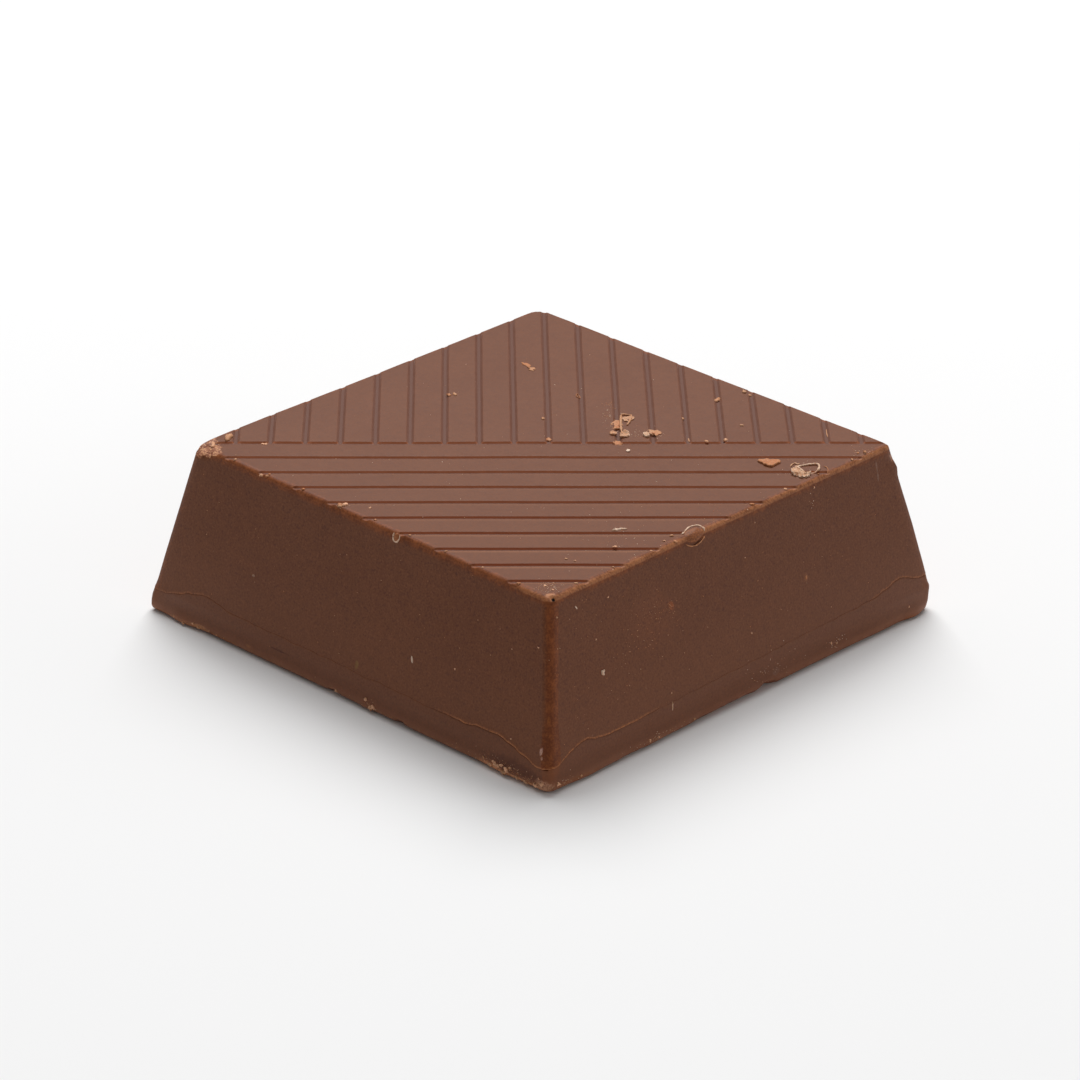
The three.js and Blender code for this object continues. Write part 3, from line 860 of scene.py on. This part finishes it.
base_mesh = skin.mesh("bonbon_base", points, values)
base = piece("bonbon_base", base_mesh, chocolate("base_chocolate", BASE_TONES, base_marks))
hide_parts("base_layer")


# ---- Drops, flakes and curls --------------------------------------------------------------------
# Chocolate that splashed or scraped off and stuck to the piece as it set: a drop on the right rim, a
# tear under the left one, and thin flakes and curled shavings on the top. All of it is chocolate, paler
# where it is thin or rubbed.


def on_top(u, v):
    """A point of the top, with the directions out of it and along it."""
    point = np.array([*to_xy(u, v), HEIGHT - GROOVE_DEPTH * float(groove_share(u, v))])
    return point, np.array([0, 0, 1.0]), np.array([*to_xy(1.0, 0.0), 0])


def on_wall(wall, along, z):
    """A point of a wall, the same way."""
    level, sideways = wall_ways(wall)
    lift = WALL_SLOPE if z > FOOT_HEIGHT else 0.0
    half = float(half_side(z))
    if z < BASE_EDGE_RADIUS:
        angle = math.asin(1 - z / BASE_EDGE_RADIUS)
        half -= BASE_EDGE_RADIUS * (1 - math.cos(angle))
        lift = -math.tan(angle)
    outward = level + np.array([0, 0, lift])
    return level * half + sideways * along + np.array([0, 0, z]), outward / np.linalg.norm(outward), sideways


def ball(cuts):
    """Points and faces of a round ball of radius 1."""
    shape = bmesh.new()
    bmesh.ops.create_icosphere(shape, subdivisions=cuts, radius=1)
    points = np.array([corner.co for corner in shape.verts])
    faces = [[corner.index for corner in face.verts] for face in shape.faces]
    shape.free()
    return points, np.array(faces)


def tube_faces(rows, around, shut):
    """Faces between rows of points that each go round a tube, or round a flake."""
    faces = []
    for i in range(rows if shut else rows - 1):
        for j in range(around):
            a, b = i * around + j, i * around + (j + 1) % around
            c, d = (i + 1) % rows * around + (j + 1) % around, (i + 1) % rows * around + j
            faces += [[a, b, c], [a, c, d]]
    return np.array(faces)


STEPS_EACH = 8  # of a thread's path, from each given point to the next
THREAD_SIDES = 8


def smooth_path(path, shut):
    """A smooth line through those points. A shut one goes on from the last point to the first."""
    ends = path[[-1, 0, 1]] if shut else path[[0, -1, -1]]
    knots = np.concatenate([ends[:1], path, ends[1:]])
    steps = []
    for i in range(len(path) if shut else len(path) - 1):
        a, b, c, d = knots[i : i + 4]
        for t in np.linspace(0, 1, STEPS_EACH + 1)[:-1, None]:
            square = (2 * a - 5 * b + 4 * c - d) * t ** 2
            cube = (3 * b - a - 3 * c + d) * t ** 3
            steps.append(((2 * b + (c - a) * t + square + cube) / 2).reshape(3))
    return np.array(steps)


FLAKE_SECTION = [  # share of the way out, height as a share of the thickness, and how much paler it is
    (0, 0.8, 0), (0.35, 0.85, 0), (0.6, 0.8, 0), (0.8, 0.9, 0), (0.92, 1.0, 0.1), (1, 0.6, 0.15),
    (0.98, 0.1, 0), (0.9, -0.3, 0), (0, -0.3, 0),
]


class Heap:
    """Collects small bits of chocolate in one mesh. Each has a tone: 0 is brown and 1 is pale tan."""

    def __init__(self, seed):
        self.random = np.random.default_rng(seed)
        self.points = []
        self.faces = []
        self.tones = []
        self.count = 0

    def put(self, spot, shape, faces, tone, turn=0.0, sunk=0.0):
        """Adds a shape, in millimetres, that stands on a spot of the surface, turned by some degrees."""
        point, outward, along = spot
        side = np.cross(outward, along)
        c, s = math.cos(math.radians(turn)), math.sin(math.radians(turn))
        axes = np.array([along * c + side * s, side * c - along * s, outward])
        self.points.append(point + shape @ axes - outward * sunk)
        self.faces.append(faces + self.count)
        self.tones.append(np.broadcast_to(tone, len(shape)))
        self.count += len(shape)

    def lump(self, spot, lengths, tone, turn=0.0, rough=0.25, cuts=2):
        """A lump or flake. Its outline is as ragged as rough says."""
        points, faces = ball(cuts)
        angle = np.arctan2(points[:, 1], points[:, 0])
        grow = np.ones(len(points))
        for wave in range(2, 7):
            push = self.random.normal() * rough / math.sqrt(wave)
            grow += push * np.cos(wave * angle + self.random.uniform(0, 6.3)) * np.hypot(*points[:, :2].T)
        grow += rough * 0.4 * ripple(points, 1.1, self.random.integers(1e6), 8)
        shape = points * grow[:, None] * np.array(lengths) / 2
        self.put(spot, shape, faces, tone, turn, sunk=-lengths[2] * 0.08)

    def flake(self, spot, corners, thick, tone, rough=0.1):
        """A thin broken flake with that outline, in millimetres from the spot. Its edge is paler."""
        corners = np.array(corners, float)
        ways, reaches = np.arctan2(*corners.T[::-1]), np.hypot(*corners.T)
        angle = np.linspace(0, 2 * math.pi, 72, endpoint=False)
        reach = np.interp(angle, ways, reaches, period=2 * math.pi)
        edge = reach[:, None] * np.stack([np.cos(angle), np.sin(angle)], axis=1)
        edge *= 1 + rough * 0.5 * ripple(np.c_[edge, 0 * angle], 0.35, self.random.integers(1e6), 8)[:, None]
        rows, tones = [], []
        seed = self.random.integers(1e6)
        for share, level, paler in FLAKE_SECTION:
            z = np.full(len(edge), level * thick)
            if level > 0.5:
                z += rough * 2 * thick * ripple(np.c_[edge * share, 0 * z], 0.3, seed, 8)
            rows.append(np.c_[edge * share, z])
            tones.append(np.full(len(edge), tone + paler))
        self.put(spot, np.concatenate(rows), tube_faces(len(rows), len(edge), False), np.concatenate(tones))

    def thread(self, path, thick, tone, shut=False, outward=(0, 0, 1)):
        """A thin curled shaving, or the raised line of a set drop, through those points of the piece."""
        middle = smooth_path(np.array(path, float), shut)
        ahead = np.gradient(middle, axis=0)
        side = np.cross(ahead, outward)
        side /= np.linalg.norm(side, axis=1)[:, None] + 1e-9
        width = thick / 2 * (1 + 0.3 * ripple(middle, 0.35, self.random.integers(1e6), 8))
        if not shut:
            share = np.linspace(0, 1, len(middle))
            width = width * np.clip(np.minimum(share, 1 - share) * 9, 0.1, 1)
        rows = [middle + width[:, None] * (math.cos(turn) * side + math.sin(turn) * np.array(outward))
                for turn in np.linspace(0, 2 * math.pi, THREAD_SIDES, endpoint=False)]
        shape = np.stack(rows, axis=1).reshape(-1, 3)
        self.points.append(shape)
        self.faces.append(tube_faces(len(middle), THREAD_SIDES, shut) + self.count)
        self.tones.append(np.full(len(shape), tone))
        self.count += len(shape)

    def mesh(self, name):
        mesh = bpy.data.meshes.new(name)
        points = np.concatenate(self.points) * MM
        mesh.from_pydata(points.tolist(), [], np.concatenate(self.faces).tolist())
        layer = mesh.attributes.new("tone", "FLOAT", "POINT")
        layer.data.foreach_set("value", np.concatenate(self.tones).astype(np.float32))
        shape = bmesh.new()
        shape.from_mesh(mesh)
        bmesh.ops.remove_doubles(shape, verts=shape.verts, dist=1e-8)
        bmesh.ops.recalc_face_normals(shape, faces=shape.faces)
        shape.to_mesh(mesh)
        shape.free()
        mesh.shade_smooth()
        return mesh


ORANGE_BROWN = linear(184, 112, 64)
DULL_TAN = linear(196, 146, 108)
PALE_TAN = linear(232, 204, 180)


def crumb_finish(name, contrast, palest=PALE_TAN):
    """Material of loose chocolate: from brown over orange-brown to a pale tone, and matt."""
    material, place = new_material(name)
    grain = place.noise(0.08, 2, 0.6)
    tone = place.value("tone") + (grain - 0.5) * contrast
    colour = tone.step(0.0, 0.4).mix(MILK_CHOCOLATE, ORANGE_BROWN)
    colour = tone.step(0.35, 0.7).mix(colour, DULL_TAN)
    colour = tone.step(0.65, 1.0).mix(colour, palest)
    set_surface(colour, 0.5 + 0.2 * grain, 0.3, grain, 0.6)
    return material


# The drop on the right rim, with the raised lines round it, and the tear under the left rim
drops = Heap(101)
on_right_rim = (np.array([12.98, -2.42, 9.6]), np.array([0.5, 0, 0.87]), np.array([0, 1.0, 0]))
drops.lump(on_right_rim, (1.5, 0.75, 0.54), 0.14, rough=0.05, cuts=5)
drops.thread([(12.79, -3.06, 9.87), (12.83, -2.95, 9.88), (12.67, -2.54, 9.87), (12.55, -2.15, 9.87),
              (12.6, -1.85, 9.87), (12.73, -1.67, 9.86), (13.04, -1.62, 9.82), (13.22, -1.7, 9.66)],
             0.1, 0.85, outward=(0.4, 0, 0.92))
drops.thread([(13.26, -1.71, 9.5), (13.31, -1.9, 9.4), (13.35, -2.15, 9.3), (13.36, -2.52, 9.24),
              (13.34, -2.91, 9.32), (13.28, -3.22, 9.5)], 0.06, 0.5, outward=(0.97, 0, 0.24))
on_left_rim = (np.array([2.31, -13.22, 9.56]), np.array([0, -0.98, 0.2]), np.array([1.0, 0, 0]))
drops.lump(on_left_rim, (0.4, 0.5, 0.16), 0.2, rough=0.04, cuts=4)
drops.thread([(2.12, -13.2, 9.82), (2.08, -13.24, 9.64), (2.13, -13.3, 9.47), (2.3, -13.33, 9.36),
              (2.46, -13.3, 9.45), (2.54, -13.25, 9.63), (2.51, -13.21, 9.8)], 0.075, 0.85,
             outward=(0, -0.98, 0.2))
piece("rim_drops", drops.mesh("rim_drops"), crumb_finish("set_drops", 0.5))

flakes = Heap(102)


def shaving(thick, tone, *places, shut=False):
    """A thread that lies on the top, through places with their u, v and height over it."""
    path = [on_top(u, v)[0] + np.array([0, 0, lift]) for u, v, lift in places]
    flakes.thread(path, thick, tone, shut)


def flat_flake(u, v, thick, tone, corners, rough=0.1):
    flakes.flake(on_top(u, v), corners, thick, tone, rough)


# The two long shavings and the bits round them, right of the middle
shaving(0.12, 0.6, (4.24, 3.62, 0.03), (4.36, 3.74, 0.03), (4.76, 3.66, 0.04), (4.8, 3.5, 0.04),
        (4.7, 2.9, 0.03), (4.58, 2.5, 0.03), (4.5, 2.35, 0.03))
shaving(0.14, 0.62, (4.26, 3.62, 0.04), (4.22, 3.0, 0.05), (4.2, 2.2, 0.05), (4.22, 1.5, 0.04),
        (4.26, 1.1, 0.03))
flat_flake(4.66, 3.2, 0.05, 0.62, [(-0.1, 0.3), (0.12, 0.36), (0.1, -0.2), (-0.04, -0.4)], 0.3)
flat_flake(3.97, 2.4, 0.13, 0.5, [(-0.1, 0.6), (0.14, 0.75), (0.22, 0.3), (0.2, -0.3), (0.02, -0.35),
                                  (-0.16, -0.5), (-0.26, -0.3), (-0.2, 0.0)], 0.15)
flat_flake(3.78, 1.28, 0.1, 0.6, [(-0.1, 0.18), (0.1, 0.18), (0.1, -0.14), (-0.08, -0.18)])
flat_flake(3.97, 0.12, 0.11, 0.45, [(-0.18, 0.35), (0.05, 0.3), (0.22, 0.05), (0.16, -0.3), (0.02, -0.3),
                                    (-0.14, -0.05)], 0.15)
flat_flake(4.36, 1.1, 0.1, 0.66, [(-0.2, 0.25), (0.05, 0.42), (0.25, 0.2), (0.27, -0.1), (0.1, -0.36),
                                  (-0.12, -0.3), (-0.25, -0.1)], 0.3)
flat_flake(5.55, 1.05, 0.12, 0.75, [(-0.14, 0.2), (0.06, 0.22), (0.14, 0.0), (0.05, -0.25), (-0.12, -0.1)])
flat_flake(5.8, 1.5, 0.12, 0.6, [(-0.2, 0.3), (-0.06, 0.36), (0.2, -0.1), (0.16, -0.26), (-0.05, -0.1)])
flat_flake(6.08, 1.35, 0.05, 0.5, [(-0.08, 0.3), (0.08, 0.34), (0.1, -0.2), (0.0, -0.4), (-0.08, -0.1)])
flat_flake(4.5, -0.95, 0.07, 1.2, [(-0.05, 0.1), (0.05, 0.1), (0.05, -0.1), (-0.05, -0.1)])
# The red-brown flake near the right corner, with a shaving and a crumpled bit beyond it
flat_flake(11.93, -2.55, 0.14, 0.4, [(-0.6, 0.32), (-0.3, 0.36), (0.1, 0.3), (0.6, 0.28), (0.62, 0.12),
                                     (0.44, -0.1), (0.28, -0.36), (0.1, -0.46), (-0.16, -0.3),
                                     (-0.38, -0.02)], 0.12)
shaving(0.11, 0.8, (13.55, -3.3, 0.04), (13.42, -3.08, 0.04), (13.6, -2.9, 0.04), (14.05, -2.74, 0.05),
        (14.46, -2.7, 0.05), (14.56, -2.95, 0.04), (14.47, -3.4, 0.04), (14.2, -3.56, 0.03),
        (13.85, -3.58, 0.03), shut=True)
flat_flake(13.28, -3.35, 0.06, 0.7, [(-0.14, 0.1), (0.06, 0.42), (0.22, 0.5), (0.16, 0.1), (0.1, -0.4),
                                     (-0.14, -0.3)], 0.3)
flat_flake(13.55, -3.98, 0.12, 0.72, [(-0.42, 0.22), (-0.1, 0.3), (0.3, 0.32), (0.44, 0.05), (0.3, -0.3),
                                      (-0.02, -0.36), (-0.2, -0.2), (-0.4, -0.16)], 0.35)
shaving(0.075, 0.7, (13.02, -3.0, 0.03), (13.12, -2.75, 0.04), (13.3, -2.55, 0.04), (13.42, -2.7, 0.04),
        (13.58, -2.5, 0.03))
shaving(0.05, 0.5, (14.78, -2.9, 0.01), (14.93, -3.0, 0.02), (15.0, -3.3, 0.02), (14.96, -3.62, 0.01))
# Single flakes elsewhere
flakes.lump(on_top(3.62, -10.68), (0.42, 0.24, 0.14), 0.9, turn=15, rough=0.35, cuts=3)
flakes.lump(on_top(3.95, -10.6), (0.22, 0.16, 0.12), 0.85, rough=0.3)
flakes.lump(on_top(-0.8, 10.55), (0.3, 0.7, 0.08), 0.4, turn=35, rough=0.3, cuts=3)
flakes.lump(on_top(-0.5, 9.95), (0.32, 0.6, 0.1), 0.55, turn=30, rough=0.35, cuts=3)
flakes.lump(on_top(-5.08, 6.42), (0.24, 0.3, 0.1), 0.5, rough=0.35)
flakes.lump(on_top(-4.76, 6.5), (0.24, 0.34, 0.12), 0.65, rough=0.35)
flakes.lump(on_top(9.51, 5.9), (0.4, 0.5, 0.16), 0.55, turn=15, rough=0.3, cuts=3)
shaving(0.045, 0.45, (1.87, 6.3, 0.02), (1.95, 6.52, 0.02), (2.08, 6.4, 0.02), (2.08, 6.2, 0.02),
        (1.95, 6.12, 0.02), shut=True)
flakes.lump(on_top(0.3, 0.72), (0.36, 0.4, 0.16), 0.5, rough=0.35, cuts=3)
flakes.lump(on_wall(3, 4.68, 3.84), (0.1, 0.4, 0.1), 1.1, turn=20, rough=0.1)
flakes.lump(on_wall(0, -11.46, 8.84), (0.08, 0.22, 0.06), 0.9, turn=30, rough=0.2)
flakes.lump(on_wall(0, -10.31, 5.04), (0.24, 0.26, 0.14), 0.85, rough=0.3, cuts=3)
flakes.lump(on_wall(0, -5.79, 1.69), (0.07, 0.45, 0.06), 0.8, turn=-10, rough=0.1)
flakes.lump(on_wall(0, 5.27, 4.99), (0.1, 0.2, 0.07), 0.5, turn=-20, rough=0.2)
flake_mesh = flakes.mesh("flakes_and_curls")
piece("flakes_and_curls", flake_mesh, crumb_finish("flaked_chocolate", 0.9))


# ---- Crumbs and dust ----------------------------------------------------------------------------
# Loose crumbs and fine dust of rubbed chocolate. They lie where the piece was handled: along the rims,
# on the front corner of the top, on the two corners of the rim and along the bottom edge.

def outside_of(*pieces):
    """The surface of those pieces, worn and uneven as it is, in which nearest points can be found."""
    points, faces = [], []
    for one in pieces:
        faces += [[corner + len(points) for corner in face.vertices] for face in one.data.polygons]
        points += [corner.co / MM for corner in one.data.vertices]
    return BVHTree.FromPolygons(points, faces)


OUTSIDE = outside_of(body, base)


def set_down(spot):
    """The same spot, moved onto the surface."""
    return np.array(OUTSIDE.find_nearest(Vector(spot[0]))[0]), spot[1], spot[2]


# Where the grooves run out over the rims, some ends hold a crumb
crumbs = Heap(103)
RIM_LINE = math.sqrt(2) * (HALF_TOP - 0.12)  # |u| + |v| on the rim
RIM_CRUMB = (0.1, 0.26)  # smallest and largest
CRUMB_CHANCE = {-1: 0.75, 1: 0.5}  # at each groove's left and right end
for number in range(1, ACROSS_GROOVES):
    v = FIRST_ACROSS_EDGE - GROOVE_WIDTH - number * GROOVE_PITCH
    size = crumbs.random.uniform(*RIM_CRUMB)
    for side, chance in CRUMB_CHANCE.items():
        u = side * (RIM_LINE + v - crumbs.random.uniform(0.1, 0.3))
        if crumbs.random.random() < chance:
            lengths = (size, size * crumbs.random.uniform(0.6, 1.2), size * 0.5)
            crumbs.lump(set_down(on_top(u, v - 0.05)), lengths, crumbs.random.uniform(0.35, 0.8), rough=0.4)
SINGLE_CRUMBS = [  # u, v, across, deep and tone, on the top
    (7.6, 3.36, 0.16, 0.2, 0.6), (10.72, 2.38, 0.16, 0.2, 0.75), (8.76, 0.3, 0.2, 0.22, 0.8),
    (9.77, 0.52, 0.26, 0.3, 0.75), (7.81, 0.7, 0.1, 0.4, 0.7), (0.02, 3.23, 0.18, 0.3, 0.6),
    (4.49, -0.79, 0.1, 0.12, 1.1), (11.1, 6.8, 0.25, 0.3, 0.7), (11.4, 6.6, 0.2, 0.25, 0.6),
    (-14.86, -0.02, 0.2, 0.26, 0.8), (-10.45, -7.66, 0.32, 0.3, 0.9), (-10.7, -7.75, 0.25, 0.2, 0.7),
    (-9.14, -8.02, 0.12, 0.2, 0.9), (-8.84, -7.41, 0.1, 0.14, 0.7), (-17.66, 0.1, 0.25, 0.56, 0.8),
    (-16.88, 0.76, 0.36, 0.9, 0.6), (-15.0, -0.05, 0.16, 0.2, 1.1), (-15.01, -3.74, 0.2, 0.24, 0.8),
    (-14.66, -3.98, 0.16, 0.2, 0.6), (3.46, -12.69, 0.2, 0.2, 0.9), (0.93, -14.09, 0.14, 0.14, 0.8),
    (1.38, -14.32, 0.12, 0.12, 0.9), (6.0, -12.0, 0.16, 0.14, 0.9), (6.4, -11.4, 0.2, 0.2, 0.6),
    (15.28, 1.6, 0.08, 0.9, 0.6), (17.13, -1.1, 0.2, 0.3, 0.55), (16.75, -1.2, 0.14, 0.2, 0.5),
    (-0.19, -17.2, 0.14, 0.14, 1.0), (0.2, -17.65, 0.12, 0.12, 1.0), (6.6, -12.0, 0.2, 0.2, 0.55),
    (5.3, -13.0, 0.2, 0.2, 0.7),
]
for u, v, across, deep, tone in SINGLE_CRUMBS:
    crumbs.lump(set_down(on_top(u, v)), (across, deep, min(across, deep) * 0.7), tone, rough=0.35)
WALL_CRUMBS = [  # wall, place along it, height, size and tone
    (3, 7.7, 4.35, 0.1, 0.9), (3, 11.28, 6.6, 0.08, 0.9), (3, 13.0, 7.25, 0.11, 1.1),
    (3, 12.18, 2.17, 0.08, 0.8), (3, 1.76, 0.65, 0.2, 0.85), (3, 2.3, 0.38, 0.26, 0.95),
    (3, 2.1, 0.3, 0.3, 0.75), (3, -0.52, 0.3, 0.2, 0.8), (3, 11.35, 0.45, 0.28, 0.85),
    (3, 12.05, 0.4, 0.3, 0.95), (3, 12.3, 0.62, 0.18, 0.8), (3, 11.7, 0.55, 0.26, 0.9),
    (3, 10.9, 0.3, 0.28, 0.7), (0, -14.3, 0.45, 0.2, 0.95), (3, 14.1, 0.3, 0.3, 0.85),
    (3, 13.4, 0.2, 0.26, 0.75), (3, 14.5, 0.5, 0.24, 0.85), (3, 14.3, 0.75, 0.14, 0.85),
    (3, 12.8, 0.25, 0.24, 0.75), (3, 11.9, 0.25, 0.3, 0.7), (3, 11.1, 0.55, 0.18, 0.9),
    (0, -12.7, 0.34, 0.14, 0.7), (3, 10.4, 0.5, 0.14, 0.7), (3, -13.0, 0.3, 0.14, 0.7),
    (3, -12.3, 0.25, 0.2, 0.75), (3, -11.6, 0.35, 0.14, 0.85), (3, -11.2, 0.25, 0.2, 0.75),
    (3, -10.4, 0.3, 0.16, 0.6), (3, -9.8, 0.25, 0.14, 0.7), (3, -9.2, 0.3, 0.12, 0.6),
    (0, -7.57, 0.4, 0.2, 0.9), (0, -6.9, 0.36, 0.14, 0.8), (0, -4.1, 0.35, 0.16, 0.75),
    (0, -9.16, 8.63, 0.1, 0.9), (0, -12.86, 8.78, 0.12, 0.7), (0, -10.43, 6.82, 0.08, 0.8),
    (0, 0.67, 3.47, 0.1, 0.8), (0, 6.8, 9.41, 0.1, 0.95), (0, 6.62, 0.89, 0.14, 0.85),
    (0, 7.07, 0.74, 0.14, 0.8), (0, 13.0, 0.8, 0.1, 0.9), (0, -2.48, 6.5, 0.08, 0.5),
    (0, -5.72, 2.38, 0.08, 0.8), (0, 2.04, 9.0, 0.08, 0.8), (0, 0.96, 7.45, 0.07, 0.8),
]
for wall, along, z, size, tone in WALL_CRUMBS:
    lengths = (size, size * crumbs.random.uniform(0.6, 1.1), size * 0.6)
    spot = set_down(on_wall(wall, along, z))
    crumbs.lump(spot, lengths, tone, turn=crumbs.random.uniform(0, 180), rough=0.35)
CRUMB_PEACH = linear(240, 182, 144)
piece("crumbs", crumbs.mesh("crumbs"), crumb_finish("crumbled_chocolate", 0.8, CRUMB_PEACH))

dust = Heap(104)
SPECK_POINTS, SPECK_FACES = ball(1)
SPECK_SIZES = (0.03, 0.07)
FARTHEST_MOVE = 0.4  # a speck is left out where the surface is farther from its spot
LOWEST_SPECK = 0.06


def sprinkle(spot_at, centre, spread, count, tones):
    """Specks round a place of a surface, thinning out from its middle."""
    for _ in range(count):
        away = dust.random.normal(size=2) * spread
        size = dust.random.uniform(*SPECK_SIZES)
        shape = SPECK_POINTS * dust.random.uniform(0.6, 1.2, (len(SPECK_POINTS), 1)) * size / 2
        spot = spot_at(centre[0] + away[0], centre[1] + away[1])
        if max(np.abs(spot[0][:2])) < half_side(spot[0][2]) + 0.02:
            tone = dust.random.uniform(*tones)
            lying = set_down(spot)
            if np.linalg.norm(lying[0] - spot[0]) < FARTHEST_MOVE:
                dust.put(lying, shape, SPECK_FACES, tone, sunk=size * 0.1)


def front_wall(along, z):
    return on_wall(3, along, max(z, LOWEST_SPECK))


def right_wall(along, z):
    return on_wall(0, along, max(z, LOWEST_SPECK))


PALE = (0.5, 1.0)  # ranges of tones
TAN = (0.4, 0.8)
ORANGE = (0.3, 0.7)
TOP_DUST = [  # centre, spread, number of specks and tones
    ((0, -17.2), (0.35, 0.35), 90, PALE),
    ((4.5, -12.5), (1.6, 1.9), 60, PALE),
    ((3.6, -11.6), (0.6, 0.7), 30, PALE),
    ((5.1, 1.4), (0.35, 0.3), 36, PALE),
    ((6.1, 1.2), (0.2, 0.4), 26, PALE),
    ((3.64, 5.02), (0.18, 0.3), 22, ORANGE),
    ((3.49, 3.63), (0.15, 0.4), 24, PALE),
    ((4.0, 2.2), (0.3, 0.8), 40, PALE),
    ((4.0, 0.3), (0.3, 0.3), 20, ORANGE),
    ((17.1, -1.0), (0.3, 0.3), 30, PALE),
    ((16.7, -1.3), (0.2, 0.3), 20, PALE),
    ((13.4, -3.3), (0.5, 0.5), 30, PALE),
    ((-17.6, -0.1), (0.4, 0.4), 40, PALE),
    ((-16.8, 0.9), (0.3, 0.3), 20, ORANGE),
    ((10.4, -7.8), (1.5, 0.5), 50, ORANGE),
    ((8.6, -9.4), (0.8, 0.6), 50, ORANGE),
    ((-10.4, -7.7), (0.3, 0.2), 16, PALE),
    ((0, -6), (9.0, 5.0), 110, PALE),
    ((0, 5), (7.0, 4.0), 40, PALE),
]
for centre, spread, count, tones in TOP_DUST:
    sprinkle(on_top, centre, spread, count, tones)
WALL_DUST = [  # wall, then the same
    (front_wall, (12.0, 0.5), (0.9, 0.2), 110, TAN),
    (front_wall, (13.8, 0.3), (0.5, 0.15), 50, TAN),
    (front_wall, (10.0, 0.35), (1.2, 0.12), 30, TAN),
    (front_wall, (2.0, 0.4), (0.3, 0.15), 20, PALE),
    (front_wall, (0, 5), (8, 2.4), 70, ORANGE),
    (right_wall, (-6.9, 0.4), (1.2, 0.15), 50, PALE),
    (right_wall, (-13.8, 0.35), (0.5, 0.15), 40, PALE),
    (right_wall, (1.5, 0.9), (1.6, 0.5), 60, PALE),
    (right_wall, (-6.2, 6.5), (1.0, 1.0), 70, ORANGE),
    (right_wall, (-4.85, 6.76), (0.12, 0.14), 16, ORANGE),
    (right_wall, (-9, 6), (3.0, 2.5), 110, ORANGE),
    (right_wall, (5, 5), (6, 2.5), 60, ORANGE),
    (right_wall, (6.46, 8.62), (0.15, 0.2), 10, PALE),
    (right_wall, (7.2, 0.8), (0.6, 0.15), 24, PALE),
]
for spot_at, centre, spread, count, tones in WALL_DUST:
    sprinkle(spot_at, centre, spread, count, tones)
piece("dust", dust.mesh("dust"), crumb_finish("chocolate_dust", 0.4))


# ---- Floor, light and camera --------------------------------------------------------------------
# A plain white table under a large soft light overhead and slightly behind, a softer one from the
# right, and the photograph's long lens.

CAMERA_DISTANCE = 258.61
CAMERA_ELEVATION = math.radians(25.5456)
CAMERA_TURN = math.radians(-1.0527)  # from the diagonal through the front corner
CAMERA_ROLL = math.radians(0.4344)
CAMERA_TARGET = Vector((0, 0, 4.926))
CAMERA_AIM = (-0.159, -0.707)  # right and up of the target, so that the piece sits high in the picture
LENS = 159.80
SENSOR = 36.0
LIGHTS = {  # metres from the middle of the piece along u, v and z, side of the square, and watts
    "overhead": ((0, 0.45, 0.75), 0.7, 9.5),
    "right": ((0.88, -0.1, 0.2), 0.6, 1.1),
}
SURROUNDINGS = 0.22  # how bright the white room around it is
TABLE_WHITE = 0.84
TABLE_REACH = 4.0


def place_camera():
    data = bpy.data.cameras.new("camera")
    data.lens = LENS
    data.sensor_width = SENSOR
    data.clip_start = 0.01
    data.clip_end = 10
    camera = bpy.data.objects.new("camera", data)
    bpy.context.scene.collection.objects.link(camera)
    flat = math.cos(CAMERA_ELEVATION)
    x, y = to_xy(math.sin(CAMERA_TURN) * flat, -math.cos(CAMERA_TURN) * flat)
    back = Vector((x, y, math.sin(CAMERA_ELEVATION)))
    right = Vector((0, 0, 1)).cross(back).normalized()
    up = back.cross(right)
    rolled_right = right * math.cos(CAMERA_ROLL) + up * math.sin(CAMERA_ROLL)
    rolled_up = up * math.cos(CAMERA_ROLL) - right * math.sin(CAMERA_ROLL)
    place = CAMERA_TARGET + back * CAMERA_DISTANCE
    aim = CAMERA_TARGET + rolled_right * CAMERA_AIM[0] + rolled_up * CAMERA_AIM[1]
    back = (place - aim).normalized()
    right = rolled_up.cross(back).normalized()
    turn = Matrix((right, back.cross(right), back)).transposed()
    camera.matrix_world = Matrix.Translation(place * MM) @ turn.to_4x4()
    bpy.context.scene.camera = camera


def soft_light(name, place, size, power):
    """A square light that faces the middle of the piece."""
    data = bpy.data.lights.new(name, "AREA")
    data.size = size
    data.energy = power
    light = bpy.data.objects.new(name, data)
    bpy.context.scene.collection.objects.link(light)
    light.location = (*to_xy(*place[:2]), place[2])
    light.rotation_euler = light.location.to_track_quat("Z", "Y").to_euler()


def white_table():
    material = bpy.data.materials.new("white_table")
    material.use_nodes = True
    shader = material.node_tree.nodes["Principled BSDF"]
    shader.inputs["Base Color"].default_value = (TABLE_WHITE, TABLE_WHITE, TABLE_WHITE, 1)
    shader.inputs["Roughness"].default_value = 0.9
    mesh = bpy.data.meshes.new("table")
    corners = [(x * TABLE_REACH, y * TABLE_REACH, 0) for x, y in ((-1, -1), (1, -1), (1, 1), (-1, 1))]
    mesh.from_pydata(corners, [], [(0, 1, 2, 3)])
    mesh.materials.append(material)
    table = bpy.data.objects.new("table", mesh)
    bpy.context.scene.collection.objects.link(table)


def studio():
    scene = bpy.context.scene
    scene.view_settings.view_transform = "Standard"
    world = bpy.data.worlds.new("studio")
    world.use_nodes = True
    background = world.node_tree.nodes["Background"]
    background.inputs["Color"].default_value = (1, 1, 1, 1)
    background.inputs["Strength"].default_value = SURROUNDINGS
    scene.world = world
    for name, (place, size, power) in LIGHTS.items():
        soft_light(name, place, size, power)


white_table()
studio()
place_camera()
